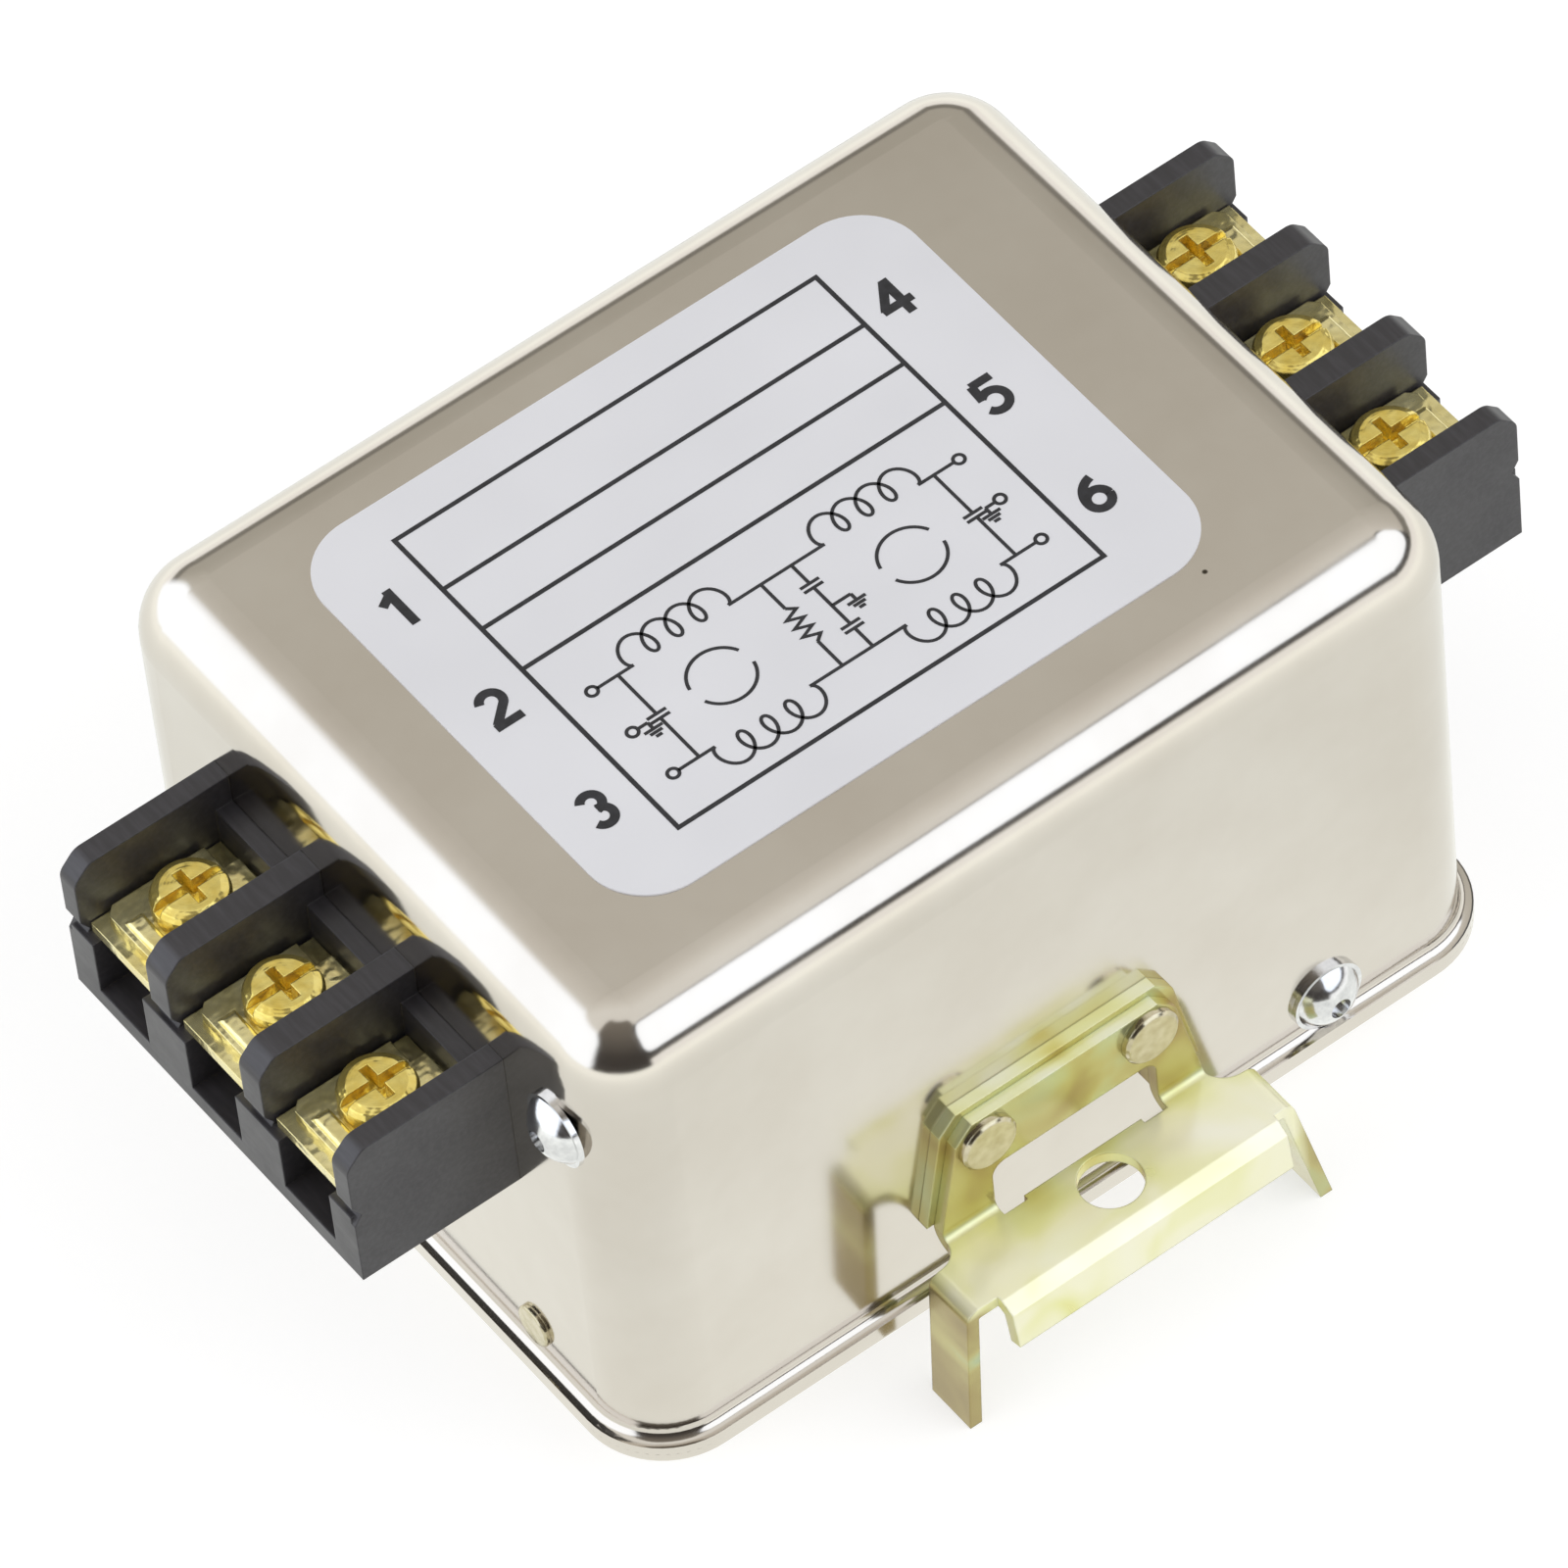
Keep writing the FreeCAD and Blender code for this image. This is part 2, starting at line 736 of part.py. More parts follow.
def plan_mask(centre):
    """Plan of the plate: waisted at the flange, wide at the legs, narrower at the lip."""
    waist = clip_flange_low_half - clip_flange_shift
    waist_right = clip_flange_low_half + clip_flange_shift
    span = clip_span_half
    lip = clip_lip_half
    leg_front = clip_front + clip_leg_setback
    leg_rear = leg_front + clip_leg_width
    z = clip_leg_bottom - 5
    back = -half_width
    far = clip_front - 3 * clip_shoulder_length - clip_lip_length
    edges = []

    def line(a, b):
        edges.append(Part.LineSegment(Vector(centre + a[0], a[1], z), Vector(centre + b[0], b[1], z)).toShape())

    def hollow(a, m, b):
        points = [Vector(centre + p[0], p[1], z) for p in (a, m, b)]
        edges.append(Part.Arc(points[0], points[1], points[2]).toShape())

    left = -span + clip_leg_radius + clip_leg_shift
    right = span - clip_leg_radius + clip_leg_shift
    start = leg_rear + clip_waist_run
    sag = 0.25 * clip_waist_run
    line((-waist, back), (-waist, start))
    hollow((-waist, start), ((left - waist) / 2 + sag / 2, leg_rear + sag), (left, leg_rear))
    line((left, leg_rear), (left, leg_front))
    line((left, leg_front), (-lip, leg_front))
    line((-lip, leg_front), (-lip + 0.4, far))
    line((-lip + 0.4, far), (lip - 0.4, far))
    line((lip - 0.4, far), (lip, leg_front))
    line((lip, leg_front), (right, leg_front))
    line((right, leg_front), (right, leg_rear))
    hollow((right, leg_rear), ((right + waist_right) / 2 - sag / 2, leg_rear + sag), (waist_right, start))
    line((waist_right, start), (waist_right, back))
    line((waist_right, back), (-waist, back))
    plan = Part.Face(Part.Wire(edges))
    return plan.extrude(Vector(0, 0, clip_flange_top - clip_leg_bottom + clip_band_spare))


def make_leg(centre, side, splay):
    """Leg that turns down from the plate's end and leans out by its splay."""
    rear = clip_front + clip_leg_setback + clip_leg_width
    r = clip_leg_radius
    start = clip_span_half - r
    turn = 90 - splay
    lean = Rotation(Y_AXIS, turn)
    pivot = Vector(start, 0, clip_plate_top - r)
    end = pivot + lean.multVec(Vector(0, 0, r))
    down = lean.multVec(X_AXIS)
    length = (end.z - clip_leg_bottom) / -down.z
    inward = lean.multVec(Vector(0, 0, -1))
    middle = pivot + Rotation(Y_AXIS, turn / 2).multVec(Vector(0, 0, r))
    top = Vector(start, 0, clip_plate_top)
    tip = end + down * length
    inner_r = r - clip_sheet
    inner_end = pivot + lean.multVec(Vector(0, 0, inner_r))
    inner_middle = pivot + Rotation(Y_AXIS, turn / 2).multVec(Vector(0, 0, inner_r))
    inner_top = Vector(start, 0, clip_plate_under)
    inner_tip = inner_end + down * ((inner_end.z - clip_leg_bottom) / -down.z)
    edges = [
        Part.Arc(top, middle, end).toShape(),
        Part.LineSegment(end, tip).toShape(),
        Part.LineSegment(tip, inner_tip).toShape(),
        Part.LineSegment(inner_tip, inner_end).toShape(),
        Part.Arc(inner_end, inner_middle, inner_top).toShape(),
        Part.LineSegment(inner_top, inner_top - Vector(1, 0, 0)).toShape(),
        Part.LineSegment(inner_top - Vector(1, 0, 0), top - Vector(1, 0, 0)).toShape(),
        Part.LineSegment(top - Vector(1, 0, 0), top).toShape(),
    ]
    leg = Part.Face(Part.Wire(edges)).extrude(Vector(0, -clip_leg_width, 0))
    if side < 0:
        leg = leg.mirror(Vector(0, 0, 0), X_AXIS)
    leg.translate(Vector(centre, rear, 0))
    return leg


def window_cut(centre):
    """Round-cornered window that straddles the flange's bend."""
    half = clip_window_half
    r = clip_window_radius
    low = clip_plate_under - clip_sheet
    tall = clip_window_top - low
    window = box(centre - half, centre + half, clip_face - clip_window_reach, -half_width, low, clip_window_top)
    corners = [e for e in window.Edges if e.BoundBox.YLength > clip_sheet and e.BoundBox.ZMin > low + tall / 2]
    return window.makeFillet(r, corners)


def relief_cut(centre, side):
    """Small relief at each lower corner of the window."""
    outer = clip_window_half
    inner = outer - clip_relief_width
    xs = sorted((centre + side * inner, centre + side * outer))
    front = clip_face - clip_window_reach - clip_relief_length
    return box(xs[0], xs[1], front, clip_face, clip_plate_under - clip_sheet, clip_plate_top + clip_sheet)


def clip_rivet_hole(x):
    """Hole for one clip rivet through both sheets."""
    start = Vector(x, -half_width + 1, clip_rivet_z)
    return Part.makeCylinder(clip_rivet_shank_radius + rivet_gap, 4 * clip_sheet + 2, start, -Y_AXIS)


def make_backing():
    """Flat sheet between the clip and the can, a little larger than the flange."""
    centre = clip_centre_x
    low = clip_plate_top + clip_bend_radius
    high = clip_flange_top + backing_margin + 2
    sheet = box(centre - clip_span_half, centre + clip_span_half, clip_back, -half_width, low, high)
    sheet = sheet.common(flange_mask(centre + clip_flange_shift, backing_margin))
    sheet = sheet.cut(window_cut(centre + clip_window_shift))
    for side in (-1, 1):
        sheet = sheet.cut(clip_rivet_hole(clip_rivet_x(side)))
    return sheet


def make_clip_rivets():
    rivets = []
    for side in (-1, 1):
        place = Vector(clip_rivet_x(side), clip_face, clip_rivet_z)
        grip = 2 * clip_sheet + case_sheet
        rivets.append(
            solid_rivet(place, Y_AXIS, grip, clip_rivet_shank_radius, clip_rivet_head_radius, clip_rivet_head_height)
        )
    return Part.makeCompound(rivets)


def across_clip(shape):
    """The same piece on the far long side, half a turn about the clip's own middle."""
    copy = shape.copy()
    copy.rotate(Vector(clip_centre_x, 0, 0), Z_AXIS, 180)
    return copy


# Chokes: a ferrite ring with two windings kept apart by a divider
choke_z = board_top + core_lift + core_outer_radius + wire_gap + wire_side


def make_core(x):
    ring = Part.makeCylinder(core_outer_radius, core_width, Vector(x - core_width / 2, 0, choke_z), X_AXIS)
    bore = Part.makeCylinder(core_inner_radius, core_width, Vector(x - core_width / 2, 0, choke_z), X_AXIS)
    ring = ring.cut(bore)
    rims = [e for e in ring.Edges if hasattr(e.Curve, "Radius")]
    return ring.makeChamfer(core_round, rims)


def make_divider(x):
    """Plate across the bore, with a tab over each flat face of the ring."""
    half = core_width / 2 + divider_overhang
    t = divider_thickness / 2
    height = ((core_inner_radius - divider_gap) ** 2 - t ** 2) ** 0.5
    plate = box(x - half, x + half, -t, t, choke_z - height, choke_z + height)
    tall = core_inner_radius + divider_tab
    for side in (-1, 1):
        xs = sorted((x + side * core_width / 2, x + side * half))
        plate = plate.fuse(box(xs[0], xs[1], -t, t, choke_z - tall, choke_z + tall))
    return plate.removeSplitter()


def wire_bar(start, end, upright):
    """Square wire between two points, with half a side more at each end."""
    run = end - start
    direction = Vector(run).normalize()
    sideways = direction.cross(upright).normalize()
    upward = sideways.cross(direction)
    h = wire_side / 2
    base = start - direction * h
    corners = [base + sideways * a * h + upward * b * h for a, b in ((-1, -1), (1, -1), (1, 1), (-1, 1))]
    return prism(corners, direction * (run.Length + 2 * h))


def make_winding(x, side):
    """One winding: turns about the ring's section, and two tails down to the board."""
    off = wire_gap + wire_side / 2
    inner = core_inner_radius - off
    outer = core_outer_radius + off
    half = core_width / 2 + wire_side / 2

    def at(radius, along, turn):
        angle = (turn - (turn_count - 1) / 2) * turn_angle
        spoke = Rotation(X_AXIS, angle).multVec(Vector(0, radius, 0))
        return Vector(x + along, side * spoke.y, choke_z + spoke.z)

    points = [at(outer, -half, 0)]
    for turn in range(turn_count):
        if turn:
            points.append(at(outer, -half, turn))
        points.append(at(outer, half, turn))
        points.append(at(inner, half, turn))
        if turn < turn_count - 1:
            points.append(at(inner, -half, turn + 1))
    points = points[:-1]
    bars = []
    for start, end in zip(points, points[1:]):
        middle = (start + end) / 2
        spoke = Vector(0, middle.y, middle.z - choke_z)
        upright = spoke.cross(X_AXIS) if abs(end.x - start.x) < half else spoke
        bars.append(wire_bar(start, end, upright))
    for start, end in tail_runs(x, side, points[0], points[-1]):
        upright = X_AXIS if abs((end - start).x) < 1e-6 else Y_AXIS
        bars.append(wire_bar(start, end, upright))
    for u, v in tail_places(x, side):
        r = wire_side / 2
        bars.append(Part.makeCone(r + solder_width, r, pin_tail - 0.2, Vector(u, v, board_bottom), -Z_AXIS))
    return bars[0].multiFuse(bars[1:]).removeSplitter()


def tail_runs(x, side, first, last):
    """Runs of the two tails: one drops straight, one goes out past the turns and down."""
    half = wire_side / 2
    foot = board_bottom - pin_tail + half
    beyond = core_outer_radius + wire_gap + wire_side + tail_clearance + half
    out = Vector(last.x + tail_offset, last.y, last.z)
    clear = Vector(out.x, side * beyond, out.z)
    runs = [(first, Vector(first.x, first.y, foot))]
    runs += [(last, out), (out, clear), (clear, Vector(clear.x, clear.y, foot))]
    return runs


def tail_places(x, side):
    """Where the winding's two tails pass the board."""
    off = wire_gap + wire_side / 2
    outer = core_outer_radius + off
    half = core_width / 2 + wire_side / 2
    low = Rotation(X_AXIS, -(turn_count - 1) / 2 * turn_angle).multVec(Vector(0, outer, 0))
    beyond = core_outer_radius + wire_gap + wire_side + tail_clearance + wire_side / 2
    return [(x - half, side * low.y), (x + half + tail_offset, side * beyond)]


# Capacitors and the bleed resistor
def soldered(x, y, radius):
    """Pin end with its cone of solder under the board."""
    low = board_bottom - pin_tail
    profile = [
        (board_top, 0),
        (board_top, radius),
        (board_bottom, radius),
        (board_bottom, radius + solder_width),
        (low + 0.2, radius),
        (low, radius),
        (low, 0),
    ]
    return spun(list(reversed(profile)), Vector(x, y, 0), Z_AXIS)


def make_x_capacitor(x):
    h = x_cap_width / 2
    w = x_cap_length / 2
    body = box(x - h, x + h, -w, w, board_top, board_top + x_cap_height)
    uprights = [e for e in body.Edges if e.BoundBox.ZLength > x_cap_height / 2]
    body = body.makeFillet(x_cap_round, uprights)
    for y in (-x_cap_pin_spacing / 2, x_cap_pin_spacing / 2):
        body = body.fuse(soldered(x, y, lead_radius))
    return body


def make_y_capacitor(y):
    z = board_top + y_cap_lift + y_cap_radius
    disc = Part.makeCylinder(y_cap_radius, y_cap_thickness, Vector(0, y - y_cap_thickness / 2, z), Y_AXIS)
    rims = [e for e in disc.Edges if hasattr(e.Curve, "Radius")]
    disc = disc.makeChamfer(y_cap_thickness / 4, rims)
    for x in (-y_cap_pin_spacing / 2, y_cap_pin_spacing / 2):
        disc = disc.fuse(rod(Vector(x, y, z), Vector(x, y, board_top), lead_radius))
        disc = disc.fuse(soldered(x, y, lead_radius))
    return disc


def make_resistor():
    z = board_top + resistor_lift + resistor_radius
    h = resistor_length / 2
    s = resistor_span / 2
    body = rod(Vector(-h, resistor_y, z), Vector(h, resistor_y, z), resistor_radius)
    for side in (-1, 1):
        elbow = Vector(side * s, resistor_y, z)
        body = body.fuse(rod(Vector(side * (h - 1), resistor_y, z), elbow, lead_radius))
        body = body.fuse(Part.makeSphere(lead_radius, elbow))
        body = body.fuse(rod(elbow, Vector(elbow.x, resistor_y, board_top), lead_radius))
        body = body.fuse(soldered(elbow.x, resistor_y, lead_radius))
    return body


y_cap_places = [y_cap_first_y, y_cap_first_y - y_cap_step]
x_cap_places = [-x_cap_spacing, 0.0, x_cap_spacing]
choke_places = [-core_spacing / 2, core_spacing / 2]


def board_holes():
    """Each hole in the board as (x, y, radius), from what passes through it."""
    holes = []
    for x in x_cap_places:
        holes += [(x, s * x_cap_pin_spacing / 2, lead_radius + pin_gap) for s in (-1, 1)]
    for y in y_cap_places:
        holes += [(s * y_cap_pin_spacing / 2, y, lead_radius + pin_gap) for s in (-1, 1)]
    holes += [(s * resistor_span / 2, resistor_y, lead_radius + pin_gap) for s in (-1, 1)]
    for x in choke_places:
        for side in (-1, 1):
            holes += [(u, v, wire_side * 0.5 ** 0.5 + pin_gap) for u, v in tail_places(x, side)]
    for y in poles:
        holes += [(-link_x, y, link_radius + pin_gap), (link_x, y, link_radius + pin_gap)]
    for u, v in post_places():
        holes.append((u, v, post_pip_radius + pin_gap))
    return holes


def post_places():
    """The four board posts."""
    return [(a * post_spacing_x / 2, b * post_spacing_y / 2) for a in (-1, 1) for b in (-1, 1)]


def make_board():
    half_x = board_length / 2
    half_y = board_width / 2
    board = box(-half_x, half_x, -half_y, half_y, board_bottom, board_top)
    drills = []
    for x, y, radius in board_holes():
        drills.append(Part.makeCylinder(radius, 2 * board_thickness, Vector(x, y, board_bottom - board_thickness / 2)))
    return board.cut(Part.makeCompound(drills))


def make_posts():
    posts = []
    for x, y in post_places():
        profile = [
            (base_sheet, 0),
            (base_sheet, post_foot_radius),
            (base_sheet + post_foot_height, post_foot_radius),
            (base_sheet + post_foot_height, post_radius),
            (board_bottom, post_radius),
            (board_bottom, post_pip_radius),
            (board_top + post_pip_height - 0.6, post_pip_radius),
            (board_top + post_pip_height, post_pip_radius - 0.6),
            (board_top + post_pip_height, 0),
        ]
        posts.append(spun(profile, Vector(x, y, 0), Z_AXIS))
    return Part.makeCompound(posts)


def make_link(y):
    """Tinned wire from a bar's tail down to the board, soldered at both ends."""
    wire = rod(Vector(-link_x, y, board_top), Vector(-link_x, y, bar_top + link_head), link_radius)
    top = Part.makeCone(link_radius + solder_width, link_radius, link_head - 0.2, Vector(-link_x, y, bar_top))
    return wire.fuse(top).fuse(soldered(-link_x, y, link_radius)).removeSplitter()


# Earth lug under the end rivet, and its lead to the middle bar
lug_x = -inner_x + lug_thickness
barrel_x = lug_x + barrel_radius
barrel_y = earth_rivet_y + lug_tongue_length


def make_lug():
    ring = Part.makeCylinder(lug_ring_radius, lug_thickness, Vector(-inner_x, earth_rivet_y, earth_rivet_z), X_AXIS)
    tongue = box(
        -inner_x,
        lug_x,
        earth_rivet_y,
        barrel_y + barrel_length,
        earth_rivet_z - lug_tongue_width / 2,
        earth_rivet_z + lug_tongue_width / 2,
    )
    start = Vector(barrel_x - 0.2, barrel_y, earth_rivet_z)
    barrel = rod(start, start + Y_AXIS * barrel_length, barrel_radius)
    lug = ring.fuse(tongue).fuse(barrel).removeSplitter().common(can_hollow())
    return lug.cut(wall_hole(Vector(-half_length, earth_rivet_y, earth_rivet_z), X_AXIS, blind_shank_radius))


def make_earth_lead():
    """Wire from the lug's barrel along the wall, then down on the middle bar."""
    r = earth_bend_radius
    x = max(barrel_x - 0.2, -boss_end + earth_wire_radius + 0.2)
    start = Vector(x, barrel_y + barrel_length, earth_rivet_z)
    corner = Vector(x, 0, earth_rivet_z)
    bend_in = corner - Y_AXIS * r
    bend_out = corner - Z_AXIS * r
    bend_mid = corner + Vector(0, -r, -r) * (1 - 0.5 ** 0.5)
    end = Vector(x, 0, bar_top)
    path = Part.Wire([
        Part.LineSegment(start, bend_in).toShape(),
        Part.Arc(bend_in, bend_mid, bend_out).toShape(),
        Part.LineSegment(bend_out, end).toShape(),
    ])
    section = Part.Wire(Part.Circle(start, Y_AXIS, earth_wire_radius).toShape())
    return path.makePipeShell([section], True, False)


def build():
    parts = {}
    parts["case_can"] = make_can()
    parts["base_plate"] = make_base()
    parts["lid_label"] = make_label()
    block = make_block()
    clamps = Part.makeCompound([make_clamp(y) for y in poles])
    screws = Part.makeCompound([make_screw(y) for y in poles])
    lug = make_lug()
    lead = make_earth_lead()
    ends = (("line", lambda shape: shape), ("load", turned))
    for end, place in ends:
        parts[end + "_terminal_block"] = place(block)
        parts[end + "_clamp_plates"] = place(clamps)
        parts[end + "_terminal_screws"] = place(screws)
        parts[end + "_earth_lug"] = place(lug)
        parts[end + "_earth_lead"] = place(lead)
        for number, y in enumerate(poles, 1):
            parts["%s_terminal_bar_%d" % (end, number)] = place(make_bar(y))
            parts["%s_link_wire_%d" % (end, number)] = place(make_link(y))
    earth = blind_rivet(Vector(-half_length, earth_rivet_y, earth_rivet_z), X_AXIS, case_sheet + lug_thickness)
    grip = case_sheet + tab_gap + tab_sheet
    side = blind_rivet(Vector(base_rivet_x, -half_width, base_rivet_z), Y_AXIS, grip)
    small = solid_rivet(
        Vector(-half_length, small_rivet_y, small_rivet_z),
        X_AXIS,
        grip,
        small_shank_radius,
        small_head_radius,
        small_head_height,
    )
    parts["earth_rivets"] = Part.makeCompound([earth, turned(earth)])
    parts["base_side_rivets"] = Part.makeCompound([side, turned(side)])
    parts["base_end_rivets"] = Part.makeCompound([small, turned(small)])
    clip = make_clip()
    backing = make_backing()
    rivets = make_clip_rivets()
    for name, place in (("near", lambda shape: shape), ("far", across_clip)):
        parts[name + "_rail_clip"] = place(clip)
        parts[name + "_clip_backing"] = place(backing)
        parts[name + "_clip_rivets"] = place(rivets)
    parts["circuit_board"] = make_board()
    parts["board_posts"] = make_posts()
    for name, x in zip(("line", "load"), choke_places):
        parts[name + "_choke_core"] = make_core(x)
        parts[name + "_choke_divider"] = make_divider(x)
        parts[name + "_choke_live_winding"] = make_winding(x, 1)
        parts[name + "_choke_neutral_winding"] = make_winding(x, -1)
    for name, x in zip(("line", "middle", "load"), x_cap_places):
        parts[name + "_x_capacitor"] = make_x_capacitor(x)
    for name, y in zip(("live", "neutral"), y_cap_places):
        parts[name + "_y_capacitor"] = make_y_capacitor(y)
    parts["bleed_resistor"] = make_resistor()
    return parts


for node, shape in build().items():
    save(shape, node)
    print("%-28s solids %d  valid %s  volume %9.2f" % (node, len(shape.Solids), shape.isValid(), shape.Volume))
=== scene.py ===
# %% [markdown]
# # A mains line filter, dressed in Blender
# The solids come from CAD: a drawn steel can, two black terminal blocks, and a bent clip on each long side.
# This notebook gives every surface its finish, prints the label, and sets the camera, lamps and floor.

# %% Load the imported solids
import math
import bpy
import numpy as np
from mathutils import Matrix, Vector


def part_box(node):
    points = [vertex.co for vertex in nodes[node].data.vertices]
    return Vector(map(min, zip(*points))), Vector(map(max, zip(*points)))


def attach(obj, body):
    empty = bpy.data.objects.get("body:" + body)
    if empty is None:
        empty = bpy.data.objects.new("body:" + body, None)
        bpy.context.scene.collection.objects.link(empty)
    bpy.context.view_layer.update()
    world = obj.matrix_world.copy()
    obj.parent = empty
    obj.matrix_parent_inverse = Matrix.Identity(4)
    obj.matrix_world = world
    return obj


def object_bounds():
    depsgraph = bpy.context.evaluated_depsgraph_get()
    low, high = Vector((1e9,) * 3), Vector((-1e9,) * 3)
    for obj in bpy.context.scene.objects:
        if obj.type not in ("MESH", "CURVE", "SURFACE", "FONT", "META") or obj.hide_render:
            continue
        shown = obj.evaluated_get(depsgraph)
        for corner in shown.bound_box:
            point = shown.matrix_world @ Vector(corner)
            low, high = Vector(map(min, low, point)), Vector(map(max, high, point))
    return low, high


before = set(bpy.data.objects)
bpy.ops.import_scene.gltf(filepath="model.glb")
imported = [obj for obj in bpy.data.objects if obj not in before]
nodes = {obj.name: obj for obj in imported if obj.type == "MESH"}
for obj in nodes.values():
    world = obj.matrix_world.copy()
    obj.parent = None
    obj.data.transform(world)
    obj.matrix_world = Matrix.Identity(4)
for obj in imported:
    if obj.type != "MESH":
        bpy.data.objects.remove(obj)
cad_box = [list(corner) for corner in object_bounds()]
MM = 0.001
print(len(nodes), "nodes, box in mm:", [[round(v / MM, 1) for v in corner] for corner in cad_box])

# %% [markdown]
# ## The camera
# A product photograph is often taken from far off with a long lens, so that parallel edges stay nearly
# parallel. The place and the three directions below were worked out from the photograph's own straight
# edges. A camera could also be aimed with a constraint, but three directions say exactly how the picture is
# turned.

# %% Set the camera
scene = bpy.context.scene
photo_side = 1600
focal_pixels = 14580.0
sensor_mm = 36.0
camera_place = Vector((-390.244, -623.878, 953.363)) * MM
camera_right = Vector((0.796139, -0.600908, -0.071223))
camera_down = Vector((-0.508857, -0.601147, -0.616187))
camera_ahead = Vector((0.327456, 0.526813, -0.784373))

camera = bpy.data.objects.new("camera", bpy.data.cameras.new("camera"))
scene.collection.objects.link(camera)
camera.data.sensor_width = sensor_mm
camera.data.lens = focal_pixels * sensor_mm / photo_side
camera.data.clip_start = 0.05
camera.matrix_world = Matrix.Translation(camera_place) @ Matrix(
    (camera_right, -camera_down, -camera_ahead)).transposed().to_4x4()
scene.camera = camera
scene.view_settings.view_transform = "Standard"
print("lens", round(camera.data.lens, 1), "mm,", round(camera_place.length, 2), "m away")

# %% [markdown]
# ## Colours and nodes
# A colour picked from a screen is in sRGB, and Blender's sockets want linear light, so one function turns
# hex text into linear numbers. A second small function adds any node, with its settings and what feeds it.

# %% Two small helpers
def linear(code):
    """Linear red, green, blue and 1 of an sRGB hex text. A channel c gives c / 12.92 near black, and
    ((c + 0.055) / 1.055) ** 2.4 above that."""
    parts = np.array([int(code[i:i + 2], 16) for i in (1, 3, 5)]) / 255
    bent = np.where(parts <= 0.04045, parts / 12.92, ((parts + 0.055) / 1.055) ** 2.4)
    return (*bent.tolist(), 1.0)


def put(tree, kind, feeds=None, **settings):
    """Adds one node. Settings are its own properties, and feeds are its sockets, each given a value or the
    output of another node."""
    node = tree.nodes.new(kind)
    for name, value in settings.items():
        setattr(node, name, value)
    for name, value in (feeds or {}).items():
        if isinstance(value, bpy.types.NodeSocket):
            tree.links.new(value, node.inputs[name])
        else:
            node.inputs[name].default_value = value
    return node


def begin(name):
    """An empty node material and its tree."""
    made = bpy.data.materials.new(name)
    made.use_nodes = True
    made.node_tree.nodes.clear()
    return made, made.node_tree


def stops(node, *pairs):
    """Gives a colour ramp its stops, each a place from 0 to 1 and a linear colour."""
    ramp = node.color_ramp
    while len(ramp.elements) < len(pairs):
        ramp.elements.new(0.5)
    for element, (place, colour) in zip(ramp.elements, pairs):
        element.position = place
        element.color = colour
    return node.outputs["Color"]


def close(tree, shader):
    """Joins the shader to the material's output."""
    put(tree, "ShaderNodeOutputMaterial", {"Surface": shader.outputs[0]})


def dress(made, *words):
    """Puts the material on every CAD node whose name holds one of the words, by its material slots."""
    names = [n for n in nodes if any(word in n for word in words)]
    for name in names:
        mesh = nodes[name].data
        mesh.materials.clear()
        mesh.materials.append(made)
        dressed.add(name)
    print(made.name, "on", len(names), "nodes")


dressed = set()
print("white is", linear("#ffffff")[:3])

# %% [markdown]
# ## The can: satin nickel on drawn steel
# The can is pressed from one sheet and plated with nickel, which leaves a warm grey mirror that is slightly
# soft. What the eye reads is the blur, a faint grain from rolling, and dull clouds left by handling and
# rinsing. The grain is bump on a noise of about 0.2 mm, and the clouds change mostly the roughness. A
# pressed face is never quite flat, so a second bump crowns each face, by up to three degrees at its ends,
# and its mirror image drifts. A tiny dark fleck on the lid, as the real one has, is drawn by its distance
# from one point.

# %% Satin nickel
nickel, tree = begin("satin_nickel_plate")
place = put(tree, "ShaderNodeTexCoord").outputs["Object"]
cloud_size = 16 * MM
grain_size = 0.22 * MM
cloud = put(tree, "ShaderNodeTexNoise", {
    "Vector": place, "Scale": 1 / cloud_size, "Detail": 4.0, "Roughness": 0.6})
rolled = put(tree, "ShaderNodeMapping", {"Vector": place, "Scale": (0.25, 1.0, 1.0)})
grain = put(tree, "ShaderNodeTexNoise", {"Vector": rolled.outputs[0], "Scale": 1 / grain_size, "Detail": 2.0})
tone = stops(put(tree, "ShaderNodeValToRGB", {"Fac": cloud.outputs["Fac"]}),
             (0.32, linear("#d1cac0")), (0.68, linear("#d8d2c9")))
lid_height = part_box("case_can")[1].z
fleck_place = Vector((24.5, -24.5, 0)) * MM + Vector((0, 0, lid_height))
fleck_reach = put(tree, "ShaderNodeVectorMath", {0: place, 1: fleck_place}, operation="DISTANCE")
fleck = put(tree, "ShaderNodeMapRange", {"Value": fleck_reach.outputs["Value"],
                                         "From Min": 0.16 * MM, "From Max": 0.30 * MM})
paint = put(tree, "ShaderNodeMix", {"Factor": fleck.outputs[0], 6: linear("#4a443b"), 7: tone},
            data_type="RGBA")
gloss = put(tree, "ShaderNodeMapRange", {"Value": cloud.outputs["Fac"], "From Min": 0.3, "From Max": 0.7,
                                         "To Min": 0.11, "To Max": 0.15})

